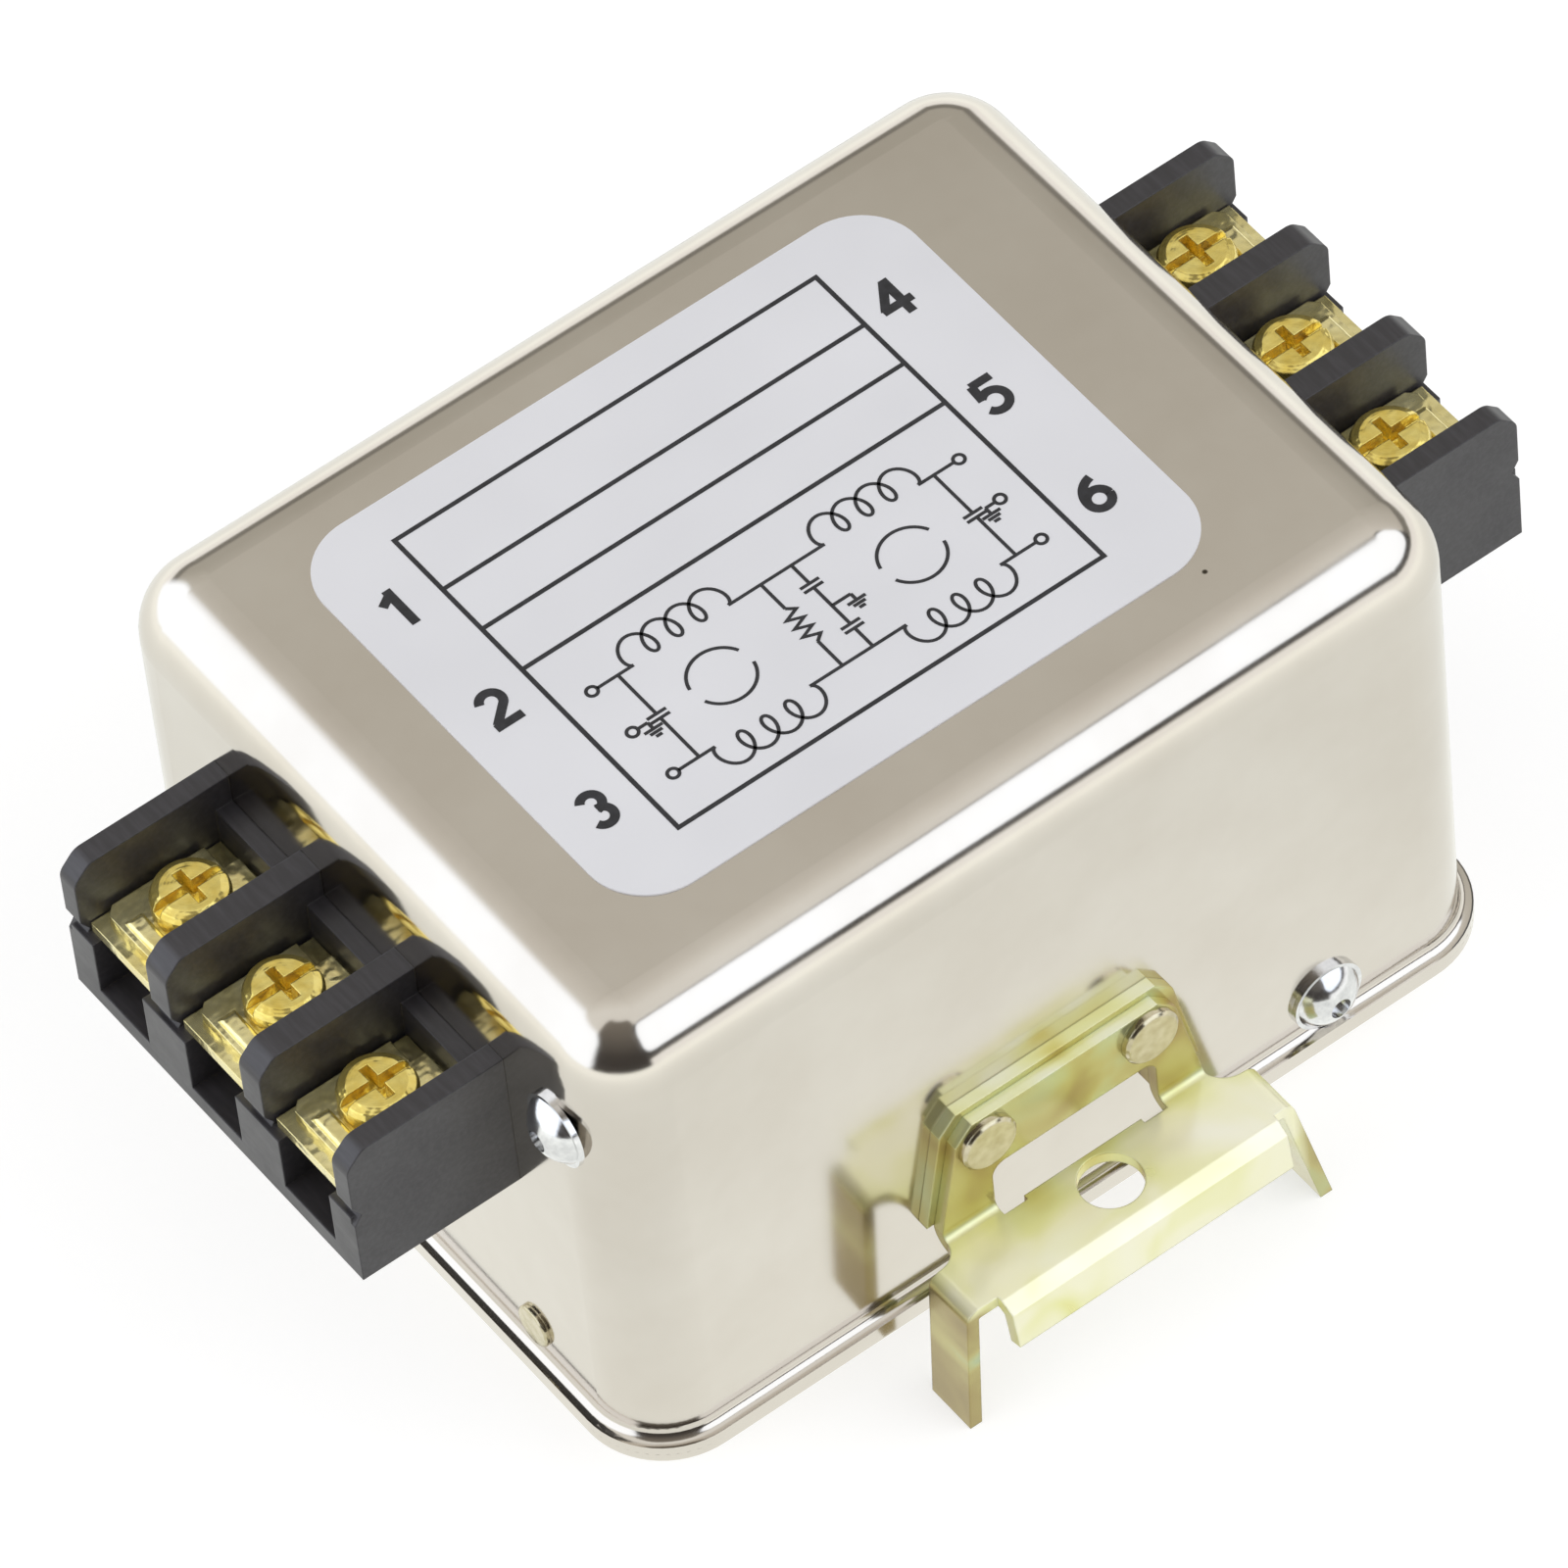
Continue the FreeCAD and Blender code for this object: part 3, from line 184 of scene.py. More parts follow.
# %% Crown and grain of the can
crown_per_metre = 0.6
across = put(tree, "ShaderNodeVectorMath", {0: place, 1: (1.0, 1.0, 0.0)}, operation="MULTIPLY")
crown = put(tree, "ShaderNodeVectorMath", {0: across.outputs[0], 1: across.outputs[0]},
            operation="DOT_PRODUCT")
crown = put(tree, "ShaderNodeMath", {0: crown.outputs["Value"], 1: -crown_per_metre}, operation="MULTIPLY")
swell = put(tree, "ShaderNodeBump", {"Height": crown.outputs[0], "Strength": 1.0, "Distance": 1.0})
bump = put(tree, "ShaderNodeBump", {"Height": grain.outputs["Fac"], "Strength": 0.2, "Distance": 0.004 * MM,
                                    "Normal": swell.outputs[0]})
close(tree, put(tree, "ShaderNodeBsdfPrincipled", {
    "Base Color": paint.outputs[2], "Metallic": 1.0, "Roughness": gloss.outputs[0],
    "Normal": bump.outputs[0]}))
dress(nickel, "case_can", "base_plate")

# %% [markdown]
# ## The label: matt polyester film
# A printed film is cold white, with a fine tooth that keeps it matt. Its gloss is low and even. The tooth
# is a noise of 0.15 mm, and a very weak large noise keeps the sheet from looking like a flat fill.

# %% Matt polyester
film, tree = begin("matt_polyester_film")
place = put(tree, "ShaderNodeTexCoord").outputs["Object"]
wash = put(tree, "ShaderNodeTexNoise", {"Vector": place, "Scale": 1 / (18 * MM), "Detail": 2.0})
tooth = put(tree, "ShaderNodeTexNoise", {"Vector": place, "Scale": 1 / (0.15 * MM), "Detail": 2.0})
tone = stops(put(tree, "ShaderNodeValToRGB", {"Fac": wash.outputs["Fac"]}),
             (0.3, linear("#dadade")), (0.7, linear("#e0e0e4")))
bump = put(tree, "ShaderNodeBump", {"Height": tooth.outputs["Fac"], "Strength": 0.3, "Distance": 0.008 * MM})
close(tree, put(tree, "ShaderNodeBsdfPrincipled", {
    "Base Color": tone, "Roughness": 0.55, "IOR": 1.5, "Normal": bump.outputs[0]}))
dress(film, "lid_label")

# %% [markdown]
# ## The terminal blocks: black moulded polyester
# The blocks are glass filled polyester, moulded in a spark eroded tool. It looks charcoal, not black,
# because the fine skin scatters light. The skin is bump of 0.25 mm, and wider clouds of roughness show
# where the melt flowed. Light scuffs come from a stretched noise. No moulded edge is sharp: the Bevel node
# rounds the normals within a fifth of a millimetre of each edge, so that the edges catch a thin line of
# light.

# %% Black moulding
moulding, tree = begin("black_moulded_polyester")
place = put(tree, "ShaderNodeTexCoord").outputs["Object"]
flow = put(tree, "ShaderNodeTexNoise", {
    "Vector": place, "Scale": 1 / (6 * MM), "Detail": 4.0, "Roughness": 0.65})
skin = put(tree, "ShaderNodeTexNoise", {"Vector": place, "Scale": 1 / (0.25 * MM), "Detail": 3.0})
long_way = put(tree, "ShaderNodeMapping", {
    "Vector": place, "Scale": (1.0, 0.12, 1.0), "Rotation": (0.3, 0.0, 0.5)})
scuff = put(tree, "ShaderNodeTexNoise", {
    "Vector": long_way.outputs[0], "Scale": 1 / (0.5 * MM), "Detail": 3.0})
tone = stops(put(tree, "ShaderNodeValToRGB", {"Fac": scuff.outputs["Fac"]}),
             (0.40, linear("#312f32")), (0.85, linear("#403e42")))
gloss = put(tree, "ShaderNodeMapRange", {"Value": flow.outputs["Fac"], "From Min": 0.3, "From Max": 0.7,
                                         "To Min": 0.34, "To Max": 0.48})
edge = put(tree, "ShaderNodeBevel", {"Radius": 0.22 * MM}, samples=6)
bump = put(tree, "ShaderNodeBump", {"Height": skin.outputs["Fac"], "Strength": 0.35, "Distance": 0.02 * MM,
                                    "Normal": edge.outputs[0]})
close(tree, put(tree, "ShaderNodeBsdfPrincipled", {
    "Base Color": tone, "Roughness": gloss.outputs[0], "IOR": 1.55, "Normal": bump.outputs[0]}))
dress(moulding, "terminal_block")

# %% [markdown]
# ## Brass bars and clamp plates
# Bars and clamp plates are stamped from brass strip and tumbled. Stamped brass keeps the rolling lines of
# the strip, so its highlight is drawn out across them. A noise that is squeezed along one axis gives those
# lines. The tumbling leaves dents of about a millimetre, and they break the mirror image into bright and
# dark patches.

# %% Stamped brass
brass, tree = begin("tumbled_stamped_brass")
place = put(tree, "ShaderNodeTexCoord").outputs["Object"]
strip = put(tree, "ShaderNodeMapping", {"Vector": place, "Scale": (0.08, 1.0, 1.0)})
lines = put(tree, "ShaderNodeTexNoise", {"Vector": strip.outputs[0], "Scale": 1 / (0.18 * MM), "Detail": 3.0})
stain = put(tree, "ShaderNodeTexNoise", {"Vector": place, "Scale": 1 / (3.5 * MM), "Detail": 3.0})
tone = stops(put(tree, "ShaderNodeValToRGB", {"Fac": stain.outputs["Fac"]}),
             (0.3, linear("#ecdc93")), (0.7, linear("#faf0b8")))
gloss = put(tree, "ShaderNodeMapRange", {"Value": stain.outputs["Fac"], "From Min": 0.3, "From Max": 0.7,
                                         "To Min": 0.14, "To Max": 0.22})
edge = put(tree, "ShaderNodeBevel", {"Radius": 0.15 * MM}, samples=6)
dent_size = 1.3 * MM
dent_depth = 0.26 * MM
dent = put(tree, "ShaderNodeTexNoise", {"Vector": place, "Scale": 1 / dent_size, "Detail": 1.0})
dented = put(tree, "ShaderNodeBump", {"Height": dent.outputs["Fac"], "Strength": 0.6, "Distance": dent_depth,
                                      "Normal": edge.outputs[0]})
bump = put(tree, "ShaderNodeBump", {"Height": lines.outputs["Fac"], "Strength": 0.3, "Distance": 0.012 * MM,
                                    "Normal": dented.outputs[0]})
close(tree, put(tree, "ShaderNodeBsdfPrincipled", {
    "Base Color": tone, "Metallic": 0.85, "Roughness": gloss.outputs[0], "Normal": bump.outputs[0]}))
dress(brass, "terminal_bar", "clamp_plates")

# %% [markdown]
# ## Screws: yellow plated, turned heads
# A turned head carries fine rings about its own axis. One node holds three screws a pole pitch apart, so
# the distance from the nearest axis is found by folding the block's width at that pitch. The rings are
# bump, with shallow dents over them, and the plating is a deeper gold than the plates under it.

# %% Yellow plated screws
plated_screw, tree = begin("yellow_plated_turned_screw")
place = put(tree, "ShaderNodeTexCoord").outputs["Object"]
bar_low, bar_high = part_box("line_terminal_bar_2")
next_low, next_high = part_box("line_terminal_bar_3")
pole_pitch = (next_low.y + next_high.y - bar_low.y - bar_high.y) / 2
screw_low, screw_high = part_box("line_terminal_screws")
screw_x = (screw_low.x + screw_high.x) / 2
split = put(tree, "ShaderNodeSeparateXYZ", {"Vector": place})
across = put(tree, "ShaderNodeMath", {0: split.outputs["Y"], 1: pole_pitch / 2, 2: -pole_pitch / 2},
             operation="WRAP")
end_side = put(tree, "ShaderNodeMath", {0: split.outputs["X"]}, operation="ABSOLUTE")
along = put(tree, "ShaderNodeMath", {0: end_side.outputs[0], 1: abs(screw_x)}, operation="SUBTRACT")
flat = put(tree, "ShaderNodeCombineXYZ", {"X": along.outputs[0], "Y": across.outputs[0]})
reach = put(tree, "ShaderNodeVectorMath", {0: flat.outputs[0]}, operation="LENGTH")
ring_step = 0.28 * MM
rings = put(tree, "ShaderNodeMath", {0: reach.outputs["Value"], 1: 2 * math.pi / ring_step},
            operation="MULTIPLY")
rings = put(tree, "ShaderNodeMath", {0: rings.outputs[0]}, operation="SINE")
stain = put(tree, "ShaderNodeTexNoise", {"Vector": place, "Scale": 1 / (1.6 * MM), "Detail": 3.0})
tone = stops(put(tree, "ShaderNodeValToRGB", {"Fac": stain.outputs["Fac"]}),
             (0.3, linear("#ecd168")), (0.72, linear("#fae88f")))
edge = put(tree, "ShaderNodeBevel", {"Radius": 0.18 * MM}, samples=6)
dent_size = 1.1 * MM
dent = put(tree, "ShaderNodeTexNoise", {"Vector": place, "Scale": 1 / dent_size, "Detail": 1.0})
dented = put(tree, "ShaderNodeBump", {"Height": dent.outputs["Fac"], "Strength": 0.6, "Distance": dent_depth,
                                      "Normal": edge.outputs[0]})
bump = put(tree, "ShaderNodeBump", {"Height": rings.outputs[0], "Strength": 0.35, "Distance": 0.004 * MM,
                                    "Normal": dented.outputs[0]})
close(tree, put(tree, "ShaderNodeBsdfPrincipled", {
    "Base Color": tone, "Metallic": 0.8, "Roughness": 0.18, "Normal": bump.outputs[0]}))
dress(plated_screw, "terminal_screws")
print("pole pitch", round(pole_pitch / MM, 2), "mm")

# %% [markdown]
# ## Rail clips: zinc with a yellow chromate
# Chromate on zinc is a thin film, so it shows pale yellow with green and pink in it, and the colour drifts
# over a few millimetres. The film is thinner on the flat plate and its lip, which stay pale and milky, and
# thicker on the upright flange and the legs, which turn olive and brown. That split is partly painted light
# and shade: the near white of the flat plate also stands for the light it catches, and the olive of the
# upright flange and the legs for their shade. Cut edges that face up are painted pale again, as painted
# light on their tops. The distance from the can's middle and the direction of the face tell the places
# apart. The colour is also stronger where the sheet is seen at a slant, which Layer Weight gives, because
# the path through the film is longer there. The sheet keeps short scratches from barrel plating.

# %% Where the film is thick, and where light and shade are painted
chromate, tree = begin("yellow_chromate_on_zinc")
place = put(tree, "ShaderNodeTexCoord").outputs["Object"]
clip_low, clip_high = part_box("near_rail_clip")
clip_middle = (clip_low.x + clip_high.x) / 2
split = put(tree, "ShaderNodeSeparateXYZ", {"Vector": place})
from_middle = put(tree, "ShaderNodeMath", {0: split.outputs["X"], 1: clip_middle}, operation="SUBTRACT")
from_middle = put(tree, "ShaderNodeMath", {0: from_middle.outputs[0]}, operation="ABSOLUTE")
from_can = put(tree, "ShaderNodeMath", {0: split.outputs["Y"]}, operation="ABSOLUTE")
flange_face = 37.2 * MM
plate_start = 38.6 * MM
flange_reach = put(tree, "ShaderNodeMapRange", {"Value": from_can.outputs[0], "From Min": flange_face,
                                                "From Max": plate_start, "To Min": 0.8, "To Max": 0.0})
plate_end = 15.6 * MM
leg_bend = 17.0 * MM
leg_reach = put(tree, "ShaderNodeMapRange", {"Value": from_middle.outputs[0], "From Min": plate_end,
                                             "From Max": leg_bend})
plate_top = 9.9 * MM
leg_top = 9.0 * MM
leg_drop = put(tree, "ShaderNodeMapRange", {"Value": split.outputs["Z"], "From Min": plate_top,
                                            "From Max": leg_top})
leg = put(tree, "ShaderNodeMath", {0: leg_reach.outputs[0], 1: leg_drop.outputs[0]}, operation="MULTIPLY")
# Faces that point up get a smaller share of the olive tone: painted light on the tops of the cut edges.
facing = put(tree, "ShaderNodeSeparateXYZ", {"Vector": put(tree, "ShaderNodeNewGeometry").outputs["Normal"]})
painted_side_shade = put(tree, "ShaderNodeMapRange", {"Value": facing.outputs["Z"], "From Min": 0.5, "From Max": 0.9,
                                             "To Min": 1.0, "To Max": 0.2})
upright = put(tree, "ShaderNodeMath", {0: flange_reach.outputs[0], 1: painted_side_shade.outputs[0]},
              operation="MULTIPLY")
# The olive share is film thickness and painted shade together: up to 1 on the legs, 0.8 on the upright
# flange, 0 on the flat plate.
film_and_painted_shade = put(tree, "ShaderNodeMath", {0: upright.outputs[0], 1: leg.outputs[0]}, operation="MAXIMUM")
bend_starts = 41.5 * MM
bend_ends = 37.8 * MM
bend_near = put(tree, "ShaderNodeMapRange", {"Value": from_can.outputs[0], "From Min": bend_starts,
                                             "From Max": bend_ends, "To Min": 0.0, "To Max": 0.22})
print("clip middle at x", round(clip_middle / MM, 2), "mm")

# %% Yellow chromate
drift_size = 9 * MM
scratch_size = 0.3 * MM
drift = put(tree, "ShaderNodeTexNoise", {
    "Vector": place, "Scale": 1 / drift_size, "Detail": 2.0, "Distortion": 0.6})
slant = put(tree, "ShaderNodeLayerWeight", {"Blend": 0.35})
film_depth = put(tree, "ShaderNodeMath", {0: slant.outputs["Facing"], 1: 0.4, 2: drift.outputs["Fac"]},
                 operation="MULTIPLY_ADD")
bent_film = put(tree, "ShaderNodeMath", {0: film_depth.outputs[0], 1: bend_near.outputs[0]}, operation="ADD")
# The milky ramp's near white is partly painted light on the flat plate, and the olive ramp's darker tones are
# partly painted shade on the flange and legs.
milky_and_painted_light = stops(put(tree, "ShaderNodeValToRGB", {"Fac": bent_film.outputs[0]}),
              (0.36, linear("#fffdea")), (0.60, linear("#fdfbd8")), (0.76, linear("#f2f2ae")),
              (0.90, linear("#e6dc7c")), (1.0, linear("#cdb06a")))
olive_and_painted_shade = stops(put(tree, "ShaderNodeValToRGB", {"Fac": film_depth.outputs[0]}),
              (0.36, linear("#9fb6a6")), (0.47, linear("#b9bf8e")), (0.60, linear("#bab074")),
              (0.80, linear("#a3925f")), (1.0, linear("#84714c")))
tone = put(tree, "ShaderNodeMix", {"Factor": film_and_painted_shade.outputs[0], 6: milky_and_painted_light, 7: olive_and_painted_shade}, data_type="RGBA")
sheen = put(tree, "ShaderNodeMapRange", {"Value": film_and_painted_shade.outputs[0], "To Min": 0.26, "To Max": 0.75})
scratch_way = put(tree, "ShaderNodeMapping", {
    "Vector": place, "Scale": (0.10, 1.0, 1.0), "Rotation": (0.2, 0.4, 0.7)})
scratch = put(tree, "ShaderNodeTexNoise", {
    "Vector": scratch_way.outputs[0], "Scale": 1 / scratch_size, "Detail": 3.0})
gloss = put(tree, "ShaderNodeMapRange", {"Value": drift.outputs["Fac"], "From Min": 0.3, "From Max": 0.7,
                                         "To Min": 0.18, "To Max": 0.28})
edge = put(tree, "ShaderNodeBevel", {"Radius": 0.25 * MM}, samples=6)
bump = put(tree, "ShaderNodeBump", {"Height": scratch.outputs["Fac"], "Strength": 0.2, "Distance": 0.012 * MM,
                                    "Normal": edge.outputs[0]})
close(tree, put(tree, "ShaderNodeBsdfPrincipled", {
    "Base Color": tone.outputs[2], "Metallic": sheen.outputs[0], "Roughness": gloss.outputs[0],
    "Normal": bump.outputs[0]}))
dress(chromate, "rail_clip", "clip_backing")

# %% [markdown]
# ## Rivets: pulled aluminium and plated steel
# A blind rivet's head is bright aluminium with a thin oxide, and marks where the tool's nose pressed it.
# The solid rivets of the clips are steel with a grey plate. Both are small, so their marks are fine.

# %% Rivet metals
aluminium, tree = begin("pulled_aluminium_rivet")
place = put(tree, "ShaderNodeTexCoord").outputs["Object"]
press = put(tree, "ShaderNodeTexNoise", {"Vector": place, "Scale": 1 / (0.7 * MM), "Detail": 4.0})
tone = stops(put(tree, "ShaderNodeValToRGB", {"Fac": press.outputs["Fac"]}),
             (0.3, linear("#d3d3d4")), (0.7, linear("#e8e8e8")))
gloss = put(tree, "ShaderNodeMapRange", {"Value": press.outputs["Fac"], "To Min": 0.10, "To Max": 0.24})
bump = put(tree, "ShaderNodeBump", {"Height": press.outputs["Fac"], "Strength": 0.25, "Distance": 0.05 * MM})
close(tree, put(tree, "ShaderNodeBsdfPrincipled", {
    "Base Color": tone, "Metallic": 1.0, "Roughness": gloss.outputs[0], "Normal": bump.outputs[0]}))
dress(aluminium, "earth_rivets", "base_side_rivets")

rivet_steel, tree = begin("grey_plated_rivet_steel")
place = put(tree, "ShaderNodeTexCoord").outputs["Object"]
press = put(tree, "ShaderNodeTexNoise", {"Vector": place, "Scale": 1 / (0.9 * MM), "Detail": 4.0})
tone = stops(put(tree, "ShaderNodeValToRGB", {"Fac": press.outputs["Fac"]}),
             (0.3, linear("#bdb391")), (0.7, linear("#d3cab0")))
edge = put(tree, "ShaderNodeBevel", {"Radius": 0.2 * MM}, samples=6)
bump = put(tree, "ShaderNodeBump", {"Height": press.outputs["Fac"], "Strength": 0.2, "Distance": 0.03 * MM,
                                    "Normal": edge.outputs[0]})
close(tree, put(tree, "ShaderNodeBsdfPrincipled", {
    "Base Color": tone, "Metallic": 1.0, "Roughness": 0.16, "Normal": bump.outputs[0]}))
dress(rivet_steel, "clip_rivets", "base_end_rivets")

# %% [markdown]
# ## Inside: wire, board, cores and capacitors
# Nothing in the can shows in the photograph, but each piece still gets its real finish, because a reader
# may open the model. Tinned wire is bright and slightly frosted. Enamelled copper is a clear orange brown.
# The board's mask is green over a woven glass cloth. Ferrite is a matt dark ceramic. The capacitors are a
# yellow moulded case and a blue dipped disc. The earth lead has the green and yellow stripe that marks
# earth.

# %% Tinned copper and enamelled copper
tinned, tree = begin("tinned_copper")
place = put(tree, "ShaderNodeTexCoord").outputs["Object"]
frost = put(tree, "ShaderNodeTexNoise", {"Vector": place, "Scale": 1 / (0.6 * MM), "Detail": 3.0})
tone = stops(put(tree, "ShaderNodeValToRGB", {"Fac": frost.outputs["Fac"]}),
             (0.3, linear("#bcbab6")), (0.7, linear("#d8d7d3")))
gloss = put(tree, "ShaderNodeMapRange", {"Value": frost.outputs["Fac"], "To Min": 0.2, "To Max": 0.42})
close(tree, put(tree, "ShaderNodeBsdfPrincipled", {
    "Base Color": tone, "Metallic": 1.0, "Roughness": gloss.outputs[0]}))
dress(tinned, "link_wire", "earth_lug")

enamel, tree = begin("enamelled_copper_wire")
place = put(tree, "ShaderNodeTexCoord").outputs["Object"]
varnish = put(tree, "ShaderNodeTexNoise", {"Vector": place, "Scale": 1 / (2 * MM), "Detail": 2.0})
tone = stops(put(tree, "ShaderNodeValToRGB", {"Fac": varnish.outputs["Fac"]}),
             (0.3, linear("#a85324")), (0.7, linear("#c8713a")))
close(tree, put(tree, "ShaderNodeBsdfPrincipled", {
    "Base Color": tone, "Metallic": 1.0, "Roughness": 0.3, "Coat Weight": 0.6, "Coat Roughness": 0.12}))
dress(enamel, "winding")

# %% Board, nylon and ferrite
laminate, tree = begin("green_masked_glass_laminate")
place = put(tree, "ShaderNodeTexCoord").outputs["Object"]
thread = 0.6 * MM
warp = put(tree, "ShaderNodeTexWave", {"Vector": place, "Scale": 1 / (2 * thread)}, bands_direction="X")
weft = put(tree, "ShaderNodeTexWave", {"Vector": place, "Scale": 1 / (2 * thread)}, bands_direction="Y")
cloth = put(tree, "ShaderNodeMath", {0: warp.outputs["Fac"], 1: weft.outputs["Fac"]}, operation="MULTIPLY")
tone = stops(put(tree, "ShaderNodeValToRGB", {"Fac": cloth.outputs[0]}),
             (0.0, linear("#2b5f3a")), (1.0, linear("#3a7549")))
bump = put(tree, "ShaderNodeBump", {"Height": cloth.outputs[0], "Strength": 0.15, "Distance": 0.02 * MM})
close(tree, put(tree, "ShaderNodeBsdfPrincipled", {
    "Base Color": tone, "Roughness": 0.32, "IOR": 1.5, "Normal": bump.outputs[0]}))
dress(laminate, "circuit_board")

nylon, tree = begin("natural_nylon")
place = put(tree, "ShaderNodeTexCoord").outputs["Object"]
milk = put(tree, "ShaderNodeTexNoise", {"Vector": place, "Scale": 1 / (4 * MM), "Detail": 2.0})
tone = stops(put(tree, "ShaderNodeValToRGB", {"Fac": milk.outputs["Fac"]}),
             (0.3, linear("#d9d5c6")), (0.7, linear("#e6e3d8")))
close(tree, put(tree, "ShaderNodeBsdfPrincipled", {"Base Color": tone, "Roughness": 0.42, "IOR": 1.53}))
dress(nylon, "choke_divider", "board_posts")

ferrite, tree = begin("fired_ferrite")
place = put(tree, "ShaderNodeTexCoord").outputs["Object"]
grit = put(tree, "ShaderNodeTexNoise", {"Vector": place, "Scale": 1 / (0.4 * MM), "Detail": 4.0})
tone = stops(put(tree, "ShaderNodeValToRGB", {"Fac": grit.outputs["Fac"]}),
             (0.3, linear("#353537")), (0.7, linear("#48484b")))
bump = put(tree, "ShaderNodeBump", {"Height": grit.outputs["Fac"], "Strength": 0.4, "Distance": 0.03 * MM})
close(tree, put(tree, "ShaderNodeBsdfPrincipled", {
    "Base Color": tone, "Roughness": 0.7, "IOR": 1.6, "Normal": bump.outputs[0]}))
dress(ferrite, "choke_core")

# %% Capacitors, resistor and earth lead
yellow_case, tree = begin("yellow_moulded_capacitor")
place = put(tree, "ShaderNodeTexCoord").outputs["Object"]
swirl = put(tree, "ShaderNodeTexNoise", {"Vector": place, "Scale": 1 / (5 * MM), "Detail": 3.0})
tone = stops(put(tree, "ShaderNodeValToRGB", {"Fac": swirl.outputs["Fac"]}),
             (0.3, linear("#d3a823")), (0.7, linear("#e2bd3c")))
close(tree, put(tree, "ShaderNodeBsdfPrincipled", {"Base Color": tone, "Roughness": 0.3, "IOR": 1.55}))
dress(yellow_case, "x_capacitor")

blue_dip, tree = begin("blue_dipped_ceramic")
place = put(tree, "ShaderNodeTexCoord").outputs["Object"]
dip = put(tree, "ShaderNodeTexNoise", {"Vector": place, "Scale": 1 / (1.5 * MM), "Detail": 3.0})
tone = stops(put(tree, "ShaderNodeValToRGB", {"Fac": dip.outputs["Fac"]}),
             (0.3, linear("#2f6da8")), (0.7, linear("#4184c0")))
bump = put(tree, "ShaderNodeBump", {"Height": dip.outputs["Fac"], "Strength": 0.3, "Distance": 0.05 * MM})
close(tree, put(tree, "ShaderNodeBsdfPrincipled", {
    "Base Color": tone, "Roughness": 0.35, "IOR": 1.55, "Normal": bump.outputs[0]}))
dress(blue_dip, "y_capacitor")

resistor_lacquer, tree = begin("lacquered_resistor")
place = put(tree, "ShaderNodeTexCoord").outputs["Object"]
resistor_low, resistor_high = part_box("bleed_resistor")
split = put(tree, "ShaderNodeSeparateXYZ", {"Vector": place})
share = put(tree, "ShaderNodeMapRange", {"Value": split.outputs["X"], "From Min": resistor_low.x,
                                         "From Max": resistor_high.x})
bands = put(tree, "ShaderNodeValToRGB", {"Fac": share.outputs[0]})
bands.color_ramp.interpolation = "CONSTANT"
sand, brown, black, gold = (linear(code) for code in ("#d8c79b", "#6b3c22", "#27262a", "#b59a3e"))
tone = stops(bands, (0.0, sand), (0.34, brown), (0.39, sand), (0.44, black), (0.49, sand), (0.62, gold),
             (0.67, sand))
close(tree, put(tree, "ShaderNodeBsdfPrincipled", {"Base Color": tone, "Roughness": 0.4, "IOR": 1.5}))
dress(resistor_lacquer, "bleed_resistor")

earth_sleeve, tree = begin("green_and_yellow_sleeve")
place = put(tree, "ShaderNodeTexCoord").outputs["Object"]
stripe = put(tree, "ShaderNodeTexWave", {"Vector": place, "Scale": 1 / (7 * MM)}, bands_direction="DIAGONAL")
bands = put(tree, "ShaderNodeValToRGB", {"Fac": stripe.outputs["Fac"]})
bands.color_ramp.interpolation = "CONSTANT"
tone = stops(bands, (0.0, linear("#3f8f3d")), (0.6, linear("#d9c93a")))
close(tree, put(tree, "ShaderNodeBsdfPrincipled", {"Base Color": tone, "Roughness": 0.45, "IOR": 1.5}))
dress(earth_sleeve, "earth_lead")
print("not dressed:", sorted(set(nodes) - dressed))

# %% [markdown]
# ## Printing on the label
# The print is screen ink, a few hundredths of a millimetre thick. It could be painted in the film's
# material, but a mesh keeps its edges sharp at any zoom. A stroke is a ribbon: a path, moved half a width
# to each side, with a top, two walls and an underside.

# %% A stroke as a closed ribbon
label_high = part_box("lid_label")[1]
ink_low = label_high.z - 0.02 * MM
ink_high = label_high.z + 0.03 * MM
ink_layer = 0.0015 * MM
ink_layers = 5


def ribbon(path, width, loop=False):
    """Points and faces of a stroke. For path points p with left normals n, the four rows are
    p + n w/2 and p - n w/2, each at the ink's low and high level, joined around and along the path."""
    p = np.asarray(path, float) * MM
    ahead = np.roll(p, -1, 0) - p
    behind = p - np.roll(p, 1, 0)
    if not loop:
        ahead[-1] = behind[-1]
        behind[0] = ahead[0]
    one = ahead / np.linalg.norm(ahead, axis=1)[:, None]
    two = behind / np.linalg.norm(behind, axis=1)[:, None]
    middle = one + two
    middle /= np.linalg.norm(middle, axis=1)[:, None]
    left = np.stack([-middle[:, 1], middle[:, 0]], 1)
    mitre = np.clip((middle * one).sum(1), 0.4, 1.0)[:, None]
    side = left * width * MM / 2 / mitre
    rows = [np.c_[p + side, np.full(len(p), ink_low)], np.c_[p - side, np.full(len(p), ink_low)],
            np.c_[p - side, np.full(len(p), ink_high)], np.c_[p + side, np.full(len(p), ink_high)]]
    points = np.stack(rows, 1).reshape(-1, 3)
    n = len(p)
    i = np.arange(n if loop else n - 1)[:, None]
    k = np.arange(4)[None, :]
    j = (i + 1) % n
    faces = np.stack([i * 4 + k, j * 4 + k, j * 4 + (k + 1) % 4, i * 4 + (k + 1) % 4], -1).reshape(-1, 4)
    if not loop:
        faces = np.vstack([faces, [[0, 1, 2, 3]], [[4 * n - 1, 4 * n - 2, 4 * n - 3, 4 * n - 4]]])
    return points, faces


